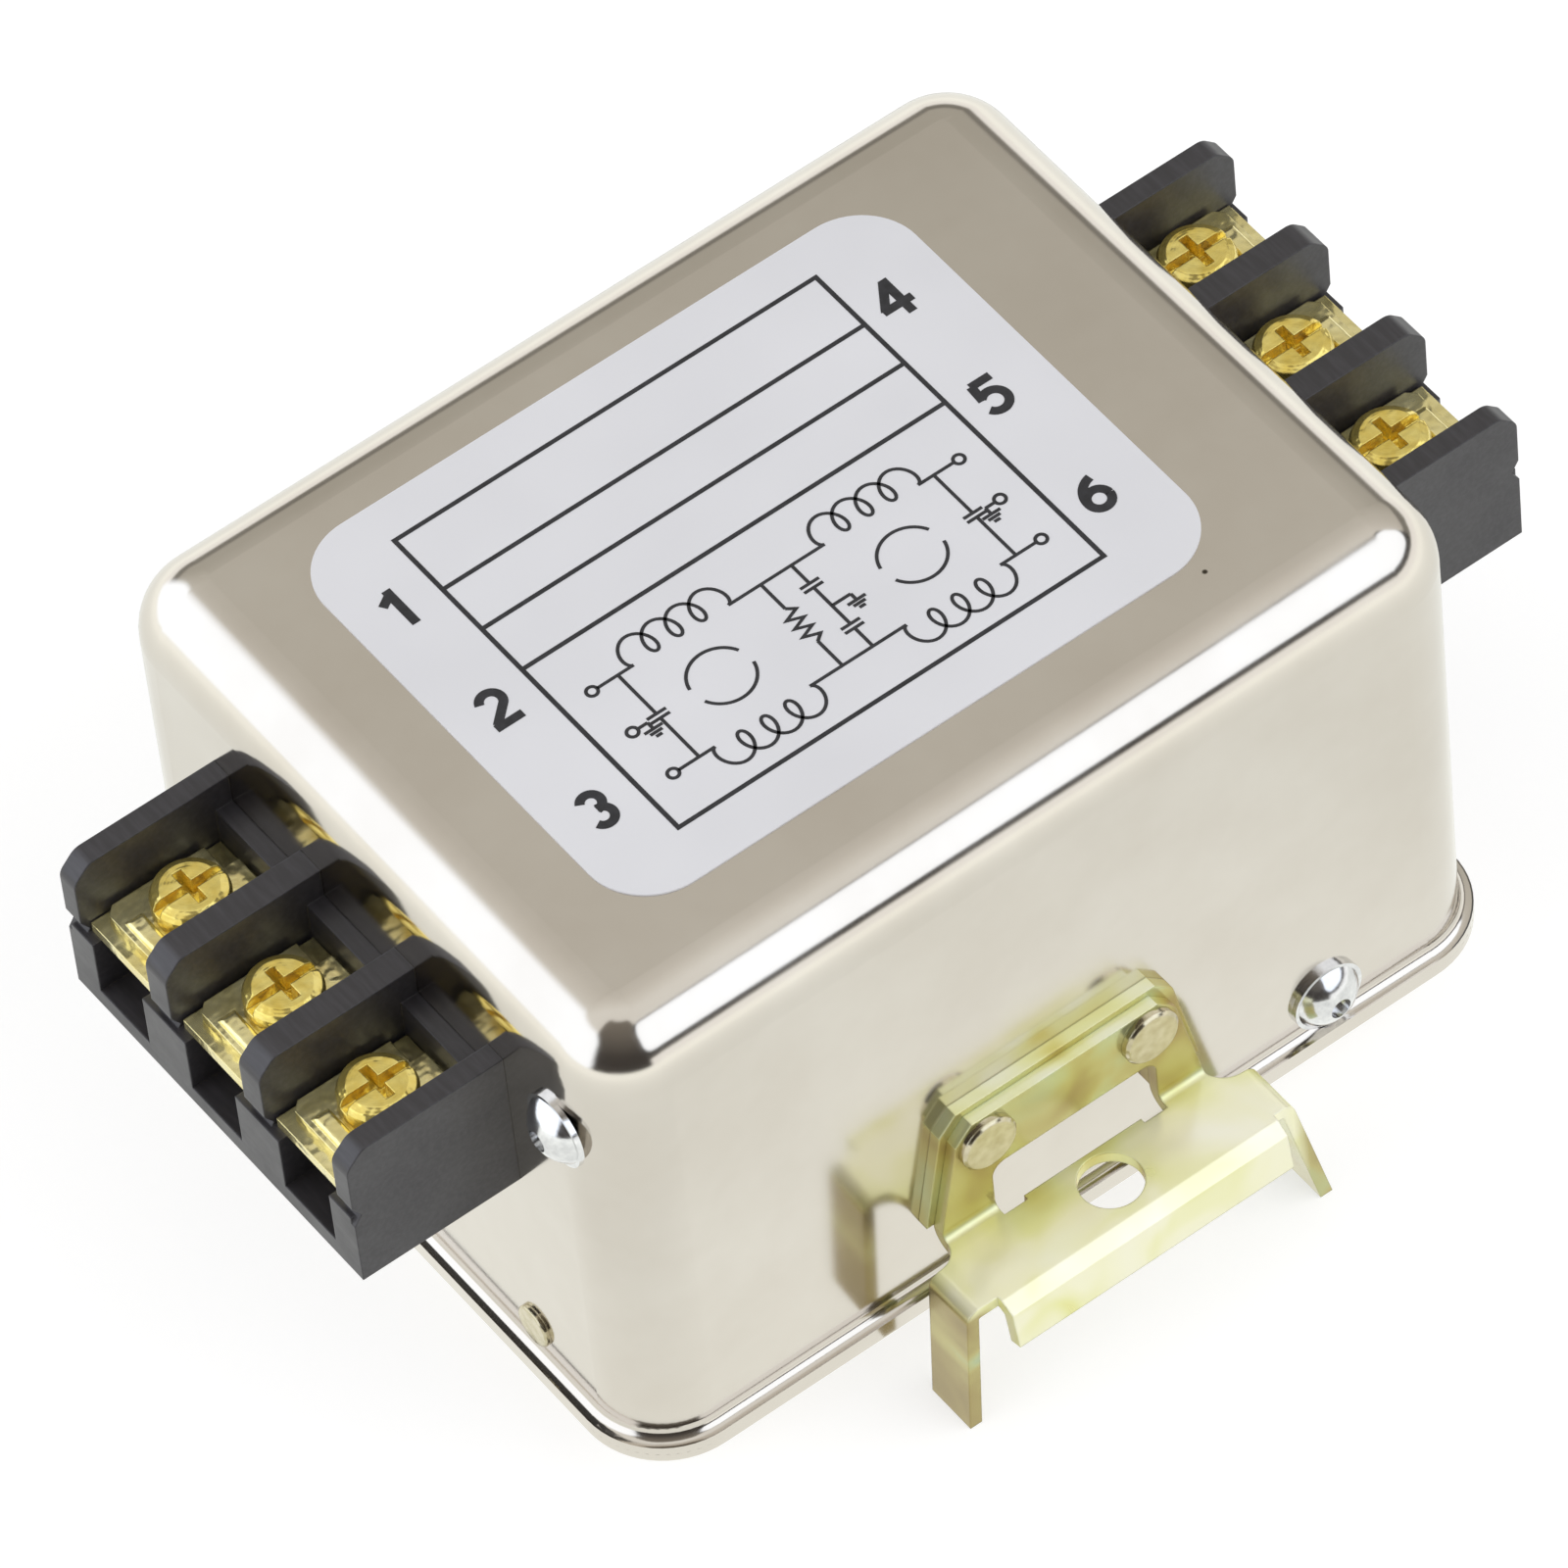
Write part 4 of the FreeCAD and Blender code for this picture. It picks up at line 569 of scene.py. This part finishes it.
def piece(name, strokes, material):
    """One mesh object from several (points, faces) pairs, riding on the one body. Stroke k is raised by
    (k mod ink_layers) * ink_layer, because two strokes that cross in one plane would show a dark spot."""
    counts = np.cumsum([0] + [len(points) for points, _ in strokes[:-1]])
    points = np.vstack([points + (0, 0, k % ink_layers * ink_layer) for k, (points, _) in enumerate(strokes)])
    faces = np.vstack([faces + start for (_, faces), start in zip(strokes, counts)])
    mesh = bpy.data.meshes.new(name)
    mesh.from_pydata(points.tolist(), [], faces.tolist())
    mesh.validate()
    mesh.update()
    mesh.materials.append(material)
    made = bpy.data.objects.new(name, mesh)
    scene.collection.objects.link(made)
    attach(made, "root")
    print(name, len(mesh.polygons), "faces")
    return made


# %% [markdown]
# ## Ink
# Black screen ink lies a little unevenly, so its grey drifts slightly and it is a bit glossier than the
# film.

# %% Black ink
ink, tree = begin("black_screen_ink")
place = put(tree, "ShaderNodeTexCoord").outputs["Object"]
body = put(tree, "ShaderNodeTexNoise", {"Vector": place, "Scale": 1 / (0.8 * MM), "Detail": 3.0})
tone = stops(put(tree, "ShaderNodeValToRGB", {"Fac": body.outputs["Fac"]}),
             (0.3, linear("#1e1e21")), (0.7, linear("#2e2e32")))
close(tree, put(tree, "ShaderNodeBsdfPrincipled", {"Base Color": tone, "Roughness": 0.5, "IOR": 1.5}))

# %% [markdown]
# ## Frame and rules
# The label has one printed frame with three narrow rows over a large field. The rows hold nothing here.

# %% Frame and rules
frame_left = -24.0
frame_right = 19.2
frame_top = 20.8
frame_bottom = -18.0
row_lines = (14.1, 8.7, 3.2)
rule_width = 0.42
rules = [ribbon([(frame_left, frame_top), (frame_right, frame_top), (frame_right, frame_bottom),
                 (frame_left, frame_bottom)], rule_width, loop=True)]
rules += [ribbon([(frame_left, y), (frame_right, y)], rule_width) for y in row_lines]
piece("label_rules", rules, ink)

# %% [markdown]
# ## A plain circuit drawing
# The large field holds a line drawing of such a filter in common symbols: two rails, a choke in each half,
# and capacitors between the rails. A coil is a row of leaning loops, a capacitor two short plates, an earth
# three bars. Each symbol is a function that gives strokes, so the drawing is a short list of places.

# %% The circuit's symbols
rail_top = -2.3
rail_bottom = -13.3
drawing_left = -21.0
drawing_right = 16.4
line_width = 0.30
coil_turns = 4
coil_pitch = 2.4
coil_sway = 1.0
coil_rise = 1.4
core_radius = 2.9
plate_half = 0.95
plate_gap = 0.55
terminal_radius = 0.5


def coil(x, y, side):
    """A coil seen from the side. With t from 0 to whole turns, along = pitch t / 2 pi - sway sin t and
    height = rise (1 - cos t), so that each turn leans back over the one before."""
    t = np.linspace(0, 2 * math.pi * coil_turns, 28 * coil_turns + 1)
    xs = x + coil_pitch * t / (2 * math.pi) - coil_sway * np.sin(t)
    return ribbon(np.c_[xs, y + side * coil_rise * (1 - np.cos(t))], line_width)


def ring(x, y, radius):
    """A circle of ink: points at radius about (x, y)."""
    a = np.linspace(0, 2 * math.pi, 33)[:-1]
    return ribbon(np.c_[x + radius * np.cos(a), y + radius * np.sin(a)], line_width, loop=True)


def bar(x0, y0, x1, y1):
    """A straight stroke."""
    return ribbon([(x0, y0), (x1, y1)], line_width)


def plates(x, y):
    """A capacitor on a line that runs along Y: two short plates across it."""
    levels = [y + side * plate_gap / 2 for side in (1, -1)]
    return [bar(x - plate_half, level, x + plate_half, level) for level in levels]


def shunt(x, y0, y1):
    """A capacitor between two levels, with its two leads."""
    y = (y0 + y1) / 2
    return [bar(x, y0, x, y + plate_gap / 2), *plates(x, y), bar(x, y - plate_gap / 2, x, y1)]


def core(x, y):
    """The ring core between two coils, left open at two places: arcs of core_radius about (x, y)."""
    arcs = []
    for start in (25, 205):
        a = np.radians(np.linspace(start, start + 145, 25))
        arcs.append(ribbon(np.c_[x + core_radius * np.cos(a), y + core_radius * np.sin(a)], line_width))
    return arcs


def earth(x, y):
    """Three bars of falling length under a short lead: (half length, depth) of each, in mm."""
    top = y - 0.8
    steps = ((0.9, 0), (0.6, 0.4), (0.3, 0.8))
    return [bar(x, y, x, top), *[bar(x - half, top - depth, x + half, top - depth) for half, depth in steps]]


# %% Draw the circuit
coil_length = coil_pitch * coil_turns
rail_lead = 4.2
shunt_lead = 1.6
left_coil = drawing_left + rail_lead
right_coil = drawing_right - rail_lead - coil_length
middle_x = (drawing_left + drawing_right) / 2
middle_y = (rail_top + rail_bottom) / 2
strokes = []
for rail, side in ((rail_top, 1), (rail_bottom, -1)):
    strokes += [bar(drawing_left + terminal_radius, rail, left_coil, rail), coil(left_coil, rail, side)]
    strokes += [bar(left_coil + coil_length, rail, right_coil, rail), coil(right_coil, rail, side)]
    strokes += [bar(right_coil + coil_length, rail, drawing_right - terminal_radius, rail)]
    strokes += [ring(x, rail, terminal_radius) for x in (drawing_left, drawing_right)]
for start in (left_coil, right_coil):
    strokes += core(start + coil_length / 2, middle_y)
strokes += shunt(left_coil - shunt_lead, rail_top, rail_bottom)
strokes += shunt(right_coil + coil_length + shunt_lead, rail_top, rail_bottom)
print("the drawing is", round(drawing_right - drawing_left, 1), "mm long")

# %% [markdown]
# ## The middle of the drawing
# Between the two chokes a zigzag stands for the bleed resistor, and two small capacitors meet at earth.

# %% Resistor, small capacitors and earths
zig_x = middle_x - 1.6
pair_x = middle_x + 1.5
zig_y = np.linspace(middle_y + 2.2, middle_y - 2.2, 9)
zig_side = zig_x + 0.7 * np.r_[0, np.resize([1, -1], 7), 0]
strokes += [bar(zig_x, rail_top, zig_x, zig_y[0]), ribbon(np.c_[zig_side, zig_y], line_width),
            bar(zig_x, zig_y[-1], zig_x, rail_bottom)]
strokes += [*shunt(pair_x, rail_top, middle_y), *shunt(pair_x, middle_y, rail_bottom)]
earth_x = pair_x + 1.9
strokes += [bar(pair_x, middle_y, earth_x, middle_y), *earth(earth_x, middle_y)]
for x, side in ((drawing_left, 1), (drawing_right, -1)):
    edge_x = x + side * terminal_radius
    earth_x = x + side * 1.5
    strokes += [ring(x, middle_y, terminal_radius), bar(edge_x, middle_y, earth_x, middle_y),
                *earth(earth_x, middle_y)]
piece("label_circuit", strokes, ink)

# %% [markdown]
# ## Terminal numbers
# Each terminal has a plain number beside the frame, 1 to 3 at one end and 4 to 6 at the other. A text
# object would do, but its thin font looks weak here. Drawn from bars and arcs, the digits get the bold even
# stroke of a screen print, and the same ribbon function makes them.

# %% Digits from bars and arcs
digit_stroke = 0.82
digit_half = 1.77


def bow(x, y, radius, start, end):
    """An arc of bold ink: points at radius about (x, y), from one angle to another in degrees."""
    a = np.radians(np.linspace(start, end, 29))
    return ribbon(np.c_[x + radius * np.cos(a), y + radius * np.sin(a)], digit_stroke)


def bold(x0, y0, x1, y1):
    """A bold straight stroke."""
    return ribbon([(x0, y0), (x1, y1)], digit_stroke)


def digit(mark, x, y):
    """The strokes of one digit, centred on (x, y) in millimetres."""
    h = digit_half
    cap = h + digit_stroke / 2
    if mark == 1:
        return [bold(x + 0.25, y - cap, x + 0.25, y + cap), bold(x - 0.95, y + 0.85, x + 0.3, y + h - 0.1)]
    if mark == 2:
        sweep = np.radians(np.linspace(165, -38, 25))
        curve = np.c_[x + np.cos(sweep), y + h - 1.0 + np.sin(sweep)]
        path = np.vstack([curve, (x - 1.0, y - h + 0.25)])
        return [ribbon(path, digit_stroke), bold(x - 1.35, y - h, x + 1.35, y - h)]
    if mark == 3:
        return [bow(x, y + 0.86, 0.91, 155, -90), bow(x, y - 0.83, 0.94, 90, -155)]
    if mark == 4:
        return [bold(x + 0.55, y - cap, x + 0.55, y + cap), bold(x - 1.5, y - 0.8, x + 1.5, y - 0.8),
                bold(x + 0.45, y + h + 0.1, x - 1.3, y - 0.85)]
    if mark == 5:
        return [bold(x - 0.9, y + h, x + 1.15, y + h), bold(x - 0.82, y + h, x - 0.95, y - 0.05),
                bow(x - 0.1, y - 0.62, 1.15, 140, -150)]
    bowl = bow(x, y - 0.72, 1.05, 0, 360)
    return [bowl, bow(x + 1.15, y - 0.6, 2.2, 180, 100)]


# %% Place the numbers
digit_places = {1: (-27.9, 14.85), 2: (-27.9, 1.35), 3: (-27.9, -12.3),
                4: (22.6, 14.85), 5: (22.6, 1.35), 6: (22.6, -12.3)}
for mark, (x, y) in digit_places.items():
    piece("label_number_%d" % mark, digit(mark, x, y), ink)

# %% [markdown]
# ## Floor
# The floor is pale and takes the object's soft shadow. A camera or a mirror sees it near white, because
# light of its own is added for those rays only: it shows in mirrors, and it doesn't fall on matt surfaces.
# In a mirror it is a little brighter at the object's foot, and again far out, as a studio table is under its
# lamps.

# %% Floor
floor_level = cad_box[0][2]
floor_half = 3.0
foot_inner = 35 * MM
foot_outer = 75 * MM
table_inner = 100 * MM
table_outer = 400 * MM
mesh = bpy.data.meshes.new("floor")
corners = [(x * floor_half, y * floor_half, floor_level) for x, y in ((-1, -1), (1, -1), (1, 1), (-1, 1))]
mesh.from_pydata(corners, [], [(0, 1, 2, 3)])
floor = bpy.data.objects.new("floor", mesh)
scene.collection.objects.link(floor)
paper, tree = begin("white_paper_floor")
rays = put(tree, "ShaderNodeLightPath")
place = put(tree, "ShaderNodeTexCoord").outputs["Object"]
fibre = put(tree, "ShaderNodeTexNoise", {"Vector": place, "Scale": 1 / (2 * MM), "Detail": 2.0})
fine = put(tree, "ShaderNodeBump", {"Height": fibre.outputs["Fac"], "Strength": 0.05, "Distance": 0.02 * MM})
matt = put(tree, "ShaderNodeBsdfDiffuse", {"Color": linear("#bcbcbc"), "Normal": fine.outputs[0]})
glow = put(tree, "ShaderNodeEmission", {"Color": linear("#ffffff"), "Strength": 0.62})
both = put(tree, "ShaderNodeAddShader", {0: matt.outputs[0], 1: glow.outputs[0]})
away = put(tree, "ShaderNodeVectorMath", {0: place}, operation="LENGTH")
foot = put(tree, "ShaderNodeMapRange", {
    "Value": away.outputs["Value"], "From Min": foot_inner, "From Max": foot_outer,
    "To Min": 0.20, "To Max": 0.0})
spread = put(tree, "ShaderNodeMapRange", {
    "Value": away.outputs["Value"], "From Min": table_inner, "From Max": table_outer,
    "To Min": 1.12, "To Max": 1.46})
spread = put(tree, "ShaderNodeMath", {0: spread.outputs[0], 1: foot.outputs[0]}, operation="ADD")
mirrored = put(tree, "ShaderNodeEmission", {"Color": linear("#fafcf8"), "Strength": spread.outputs[0]})
in_mirror = put(tree, "ShaderNodeMixShader", {"Fac": 0.88, 1: matt.outputs[0], 2: mirrored.outputs[0]})
in_view = put(tree, "ShaderNodeMath", {
    0: rays.outputs["Is Camera Ray"], 1: rays.outputs["Is Transmission Ray"]}, operation="MAXIMUM")
seen = put(tree, "ShaderNodeMixShader", {"Fac": in_view.outputs[0], 1: matt.outputs[0], 2: both.outputs[0]})
close(tree, put(tree, "ShaderNodeMixShader", {"Fac": rays.outputs["Is Glossy Ray"], 1: seen.outputs[0],
                                              2: in_mirror.outputs[0]}))
mesh.materials.append(paper)

# %% [markdown]
# ## What the metal mirrors
# Metal looks like what it mirrors, so a photographer lights the room, not the metal. A camera ray that
# misses everything sees white. Mirrors see a room that was worked out from the rounded edges of the can:
# warm grey far behind, which makes the lid beige, lighter overhead, and white at the floor's end, which
# makes the walls light. Two wide lamps stand left and right of the camera and draw the white lines along
# the can's top edges. The dark stand between them makes the dark mark at the can's near corner, and the
# right lamp's black frame makes the thin dark line under its white one. All of it is painted on the sky as
# soft patches.

# %% The sky's directions
world = bpy.data.worlds.new("soft_studio")
scene.world = world
world.use_nodes = True
tree = world.node_tree
tree.nodes.clear()
camera_heading = math.atan2(camera_place.y, camera_place.x)
way = put(tree, "ShaderNodeTexCoord").outputs["Generated"]
nearer = put(tree, "ShaderNodeVectorMath", {
    0: way, 1: (math.cos(camera_heading), math.sin(camera_heading), 0)}, operation="DOT_PRODUCT")
aside = put(tree, "ShaderNodeVectorMath", {
    0: way, 1: (-math.sin(camera_heading), math.cos(camera_heading), 0)}, operation="DOT_PRODUCT")
turn = put(tree, "ShaderNodeMath", {0: aside.outputs["Value"], 1: nearer.outputs["Value"]},
           operation="ARCTAN2")
split = put(tree, "ShaderNodeSeparateXYZ", {"Vector": way})
lift = put(tree, "ShaderNodeMath", {0: split.outputs["Z"]}, operation="ARCSINE")
print("the camera stands at", round(math.degrees(camera_heading), 1), "degrees from +X")


# %% A soft patch of the sky
def offset(angle, middle, half):
    """How far an angle lies outside middle +- half, in radians: max(|angle - middle| - half, 0)."""
    gap = put(tree, "ShaderNodeMath", {0: angle.outputs[0], 1: math.radians(middle)}, operation="SUBTRACT")
    gap = put(tree, "ShaderNodeMath", {0: gap.outputs[0]}, operation="ABSOLUTE")
    gap = put(tree, "ShaderNodeMath", {0: gap.outputs[0], 1: math.radians(half)}, operation="SUBTRACT")
    return put(tree, "ShaderNodeMath", {0: gap.outputs[0], 1: 0.0}, operation="MAXIMUM").outputs[0]


def patch(left, right, low, high, corner, soft):
    """1 inside a rounded rectangle of the sky, falling to 0 over `soft` outside. All are degrees: left and
    right from the camera's heading, low and high from the horizon. The edge is where the two offsets, each
    taken from a rectangle that is smaller by the corner's radius, have that radius as their length."""
    a = offset(turn, (left + right) / 2, (right - left) / 2 - corner)
    b = offset(lift, (low + high) / 2, (high - low) / 2 - corner)
    both_ways = put(tree, "ShaderNodeCombineXYZ", {"X": a, "Y": b})
    reach = put(tree, "ShaderNodeVectorMath", {0: both_ways.outputs[0]}, operation="LENGTH")
    return put(tree, "ShaderNodeMapRange", {
        "Value": reach.outputs["Value"], "From Min": math.radians(corner),
        "From Max": math.radians(corner + soft), "To Min": 1.0, "To Max": 0.0}).outputs[0]


def over(under, mask, colour):
    """Lays a colour over what is there, where the mask is 1."""
    return put(tree, "ShaderNodeMix", {"Factor": mask, 6: under, 7: colour}, data_type="RGBA").outputs[2]


# %% Paint the room
lamp_glow = 1.62
lamp_white = (0.94 * lamp_glow, lamp_glow, 1.1 * lamp_glow, 1.0)
horizon_white = (1.2, 1.2, 1.19, 1.0)
fore = put(tree, "ShaderNodeMapRange", {"Value": nearer.outputs["Value"], "From Min": -1.0, "From Max": 0.0})
room = stops(put(tree, "ShaderNodeValToRGB", {"Fac": fore.outputs[0]}),
             (0.20, linear("#c0bdb4")), (0.38, linear("#d3d0c8")), (0.53, linear("#dad7d0")),
             (0.69, linear("#e6e3dd")), (0.855, linear("#f1efea")), (1.0, linear("#fbfaf7")))
room = over(room, patch(-179.9, 179.9, 9, 18, 0.5, 2), linear("#8b8882"))
room = over(room, patch(-200, 200, -30, 8, 0.5, 2), horizon_white)
depth = put(tree, "ShaderNodeMapRange", {
    "Value": lift.outputs[0], "From Min": 0.0, "From Max": math.radians(65)})
stand = stops(put(tree, "ShaderNodeValToRGB", {"Fac": depth.outputs[0]}),
              (0.0, linear("#46423f")), (0.35, linear("#4d4946")), (1.0, linear("#857f77")))
room = over(room, patch(-47, 29, -12, 70, 8, 5), stand)
room = over(room, patch(26, 110, 10.5, 60, 7, 1.5), linear("#4b4845"))
room = over(room, patch(28, 110, 18, 58.5, 14, 1.2), lamp_white)
room = over(room, patch(-135, -44, -6, 45, 14, 7), lamp_white)

# %% Who sees what
rays = put(tree, "ShaderNodeLightPath")
mirrored = put(tree, "ShaderNodeMath", {
    0: rays.outputs["Is Glossy Ray"], 1: rays.outputs["Is Transmission Ray"]}, operation="MAXIMUM")
shown = put(tree, "ShaderNodeMath", {0: mirrored.outputs[0], 1: rays.outputs["Is Camera Ray"]},
            operation="MAXIMUM")
backdrop = over(room, rays.outputs["Is Camera Ray"], linear("#ffffff"))
seen = put(tree, "ShaderNodeBackground", {"Color": backdrop, "Strength": 1.0})
felt = put(tree, "ShaderNodeBackground", {"Color": linear("#ffffff"), "Strength": 0.58})
mixed = put(tree, "ShaderNodeMixShader", {"Fac": shown.outputs[0], 1: felt.outputs[0], 2: seen.outputs[0]})
put(tree, "ShaderNodeOutputWorld", {"Surface": mixed.outputs[0]})
print(len(tree.nodes), "nodes paint the room")

# %% [markdown]
# ## Lamps
# The two lamps that mirrors see as patches also give real light. They stand at about the same places, and
# mirrors don't see them a second time.

# %% Lamps
lamp_distance = 1.2


def softbox(name, left, right, low, high):
    """A rectangular lamp that faces the object and fills a patch of the sky, given in degrees as for patch().
    Its power gives the same glow at any size: a flat lamp of area A that glows L sends out pi L A."""
    a = camera_heading + math.radians((left + right) / 2)
    e = math.radians((low + high) / 2)
    place = Vector((math.cos(a) * math.cos(e), math.sin(a) * math.cos(e), math.sin(e))) * lamp_distance
    made = bpy.data.objects.new(name, bpy.data.lights.new(name, "AREA"))
    made.data.shape = "RECTANGLE"
    made.data.size = 2 * lamp_distance * math.tan(math.radians(right - left) / 2)
    made.data.size_y = 2 * lamp_distance * math.tan(math.radians(high - low) / 2)
    made.data.energy = math.pi * lamp_glow * made.data.size * made.data.size_y
    made.matrix_world = Matrix.Translation(place) @ place.to_track_quat("Z", "Y").to_matrix().to_4x4()
    made.visible_glossy = False
    scene.collection.objects.link(made)
    print(name, "gives", round(made.data.energy, 1), "W")


softbox("right_softbox", 28, 98, 15, 57)
softbox("left_softbox", -120, -50, 6, 46)
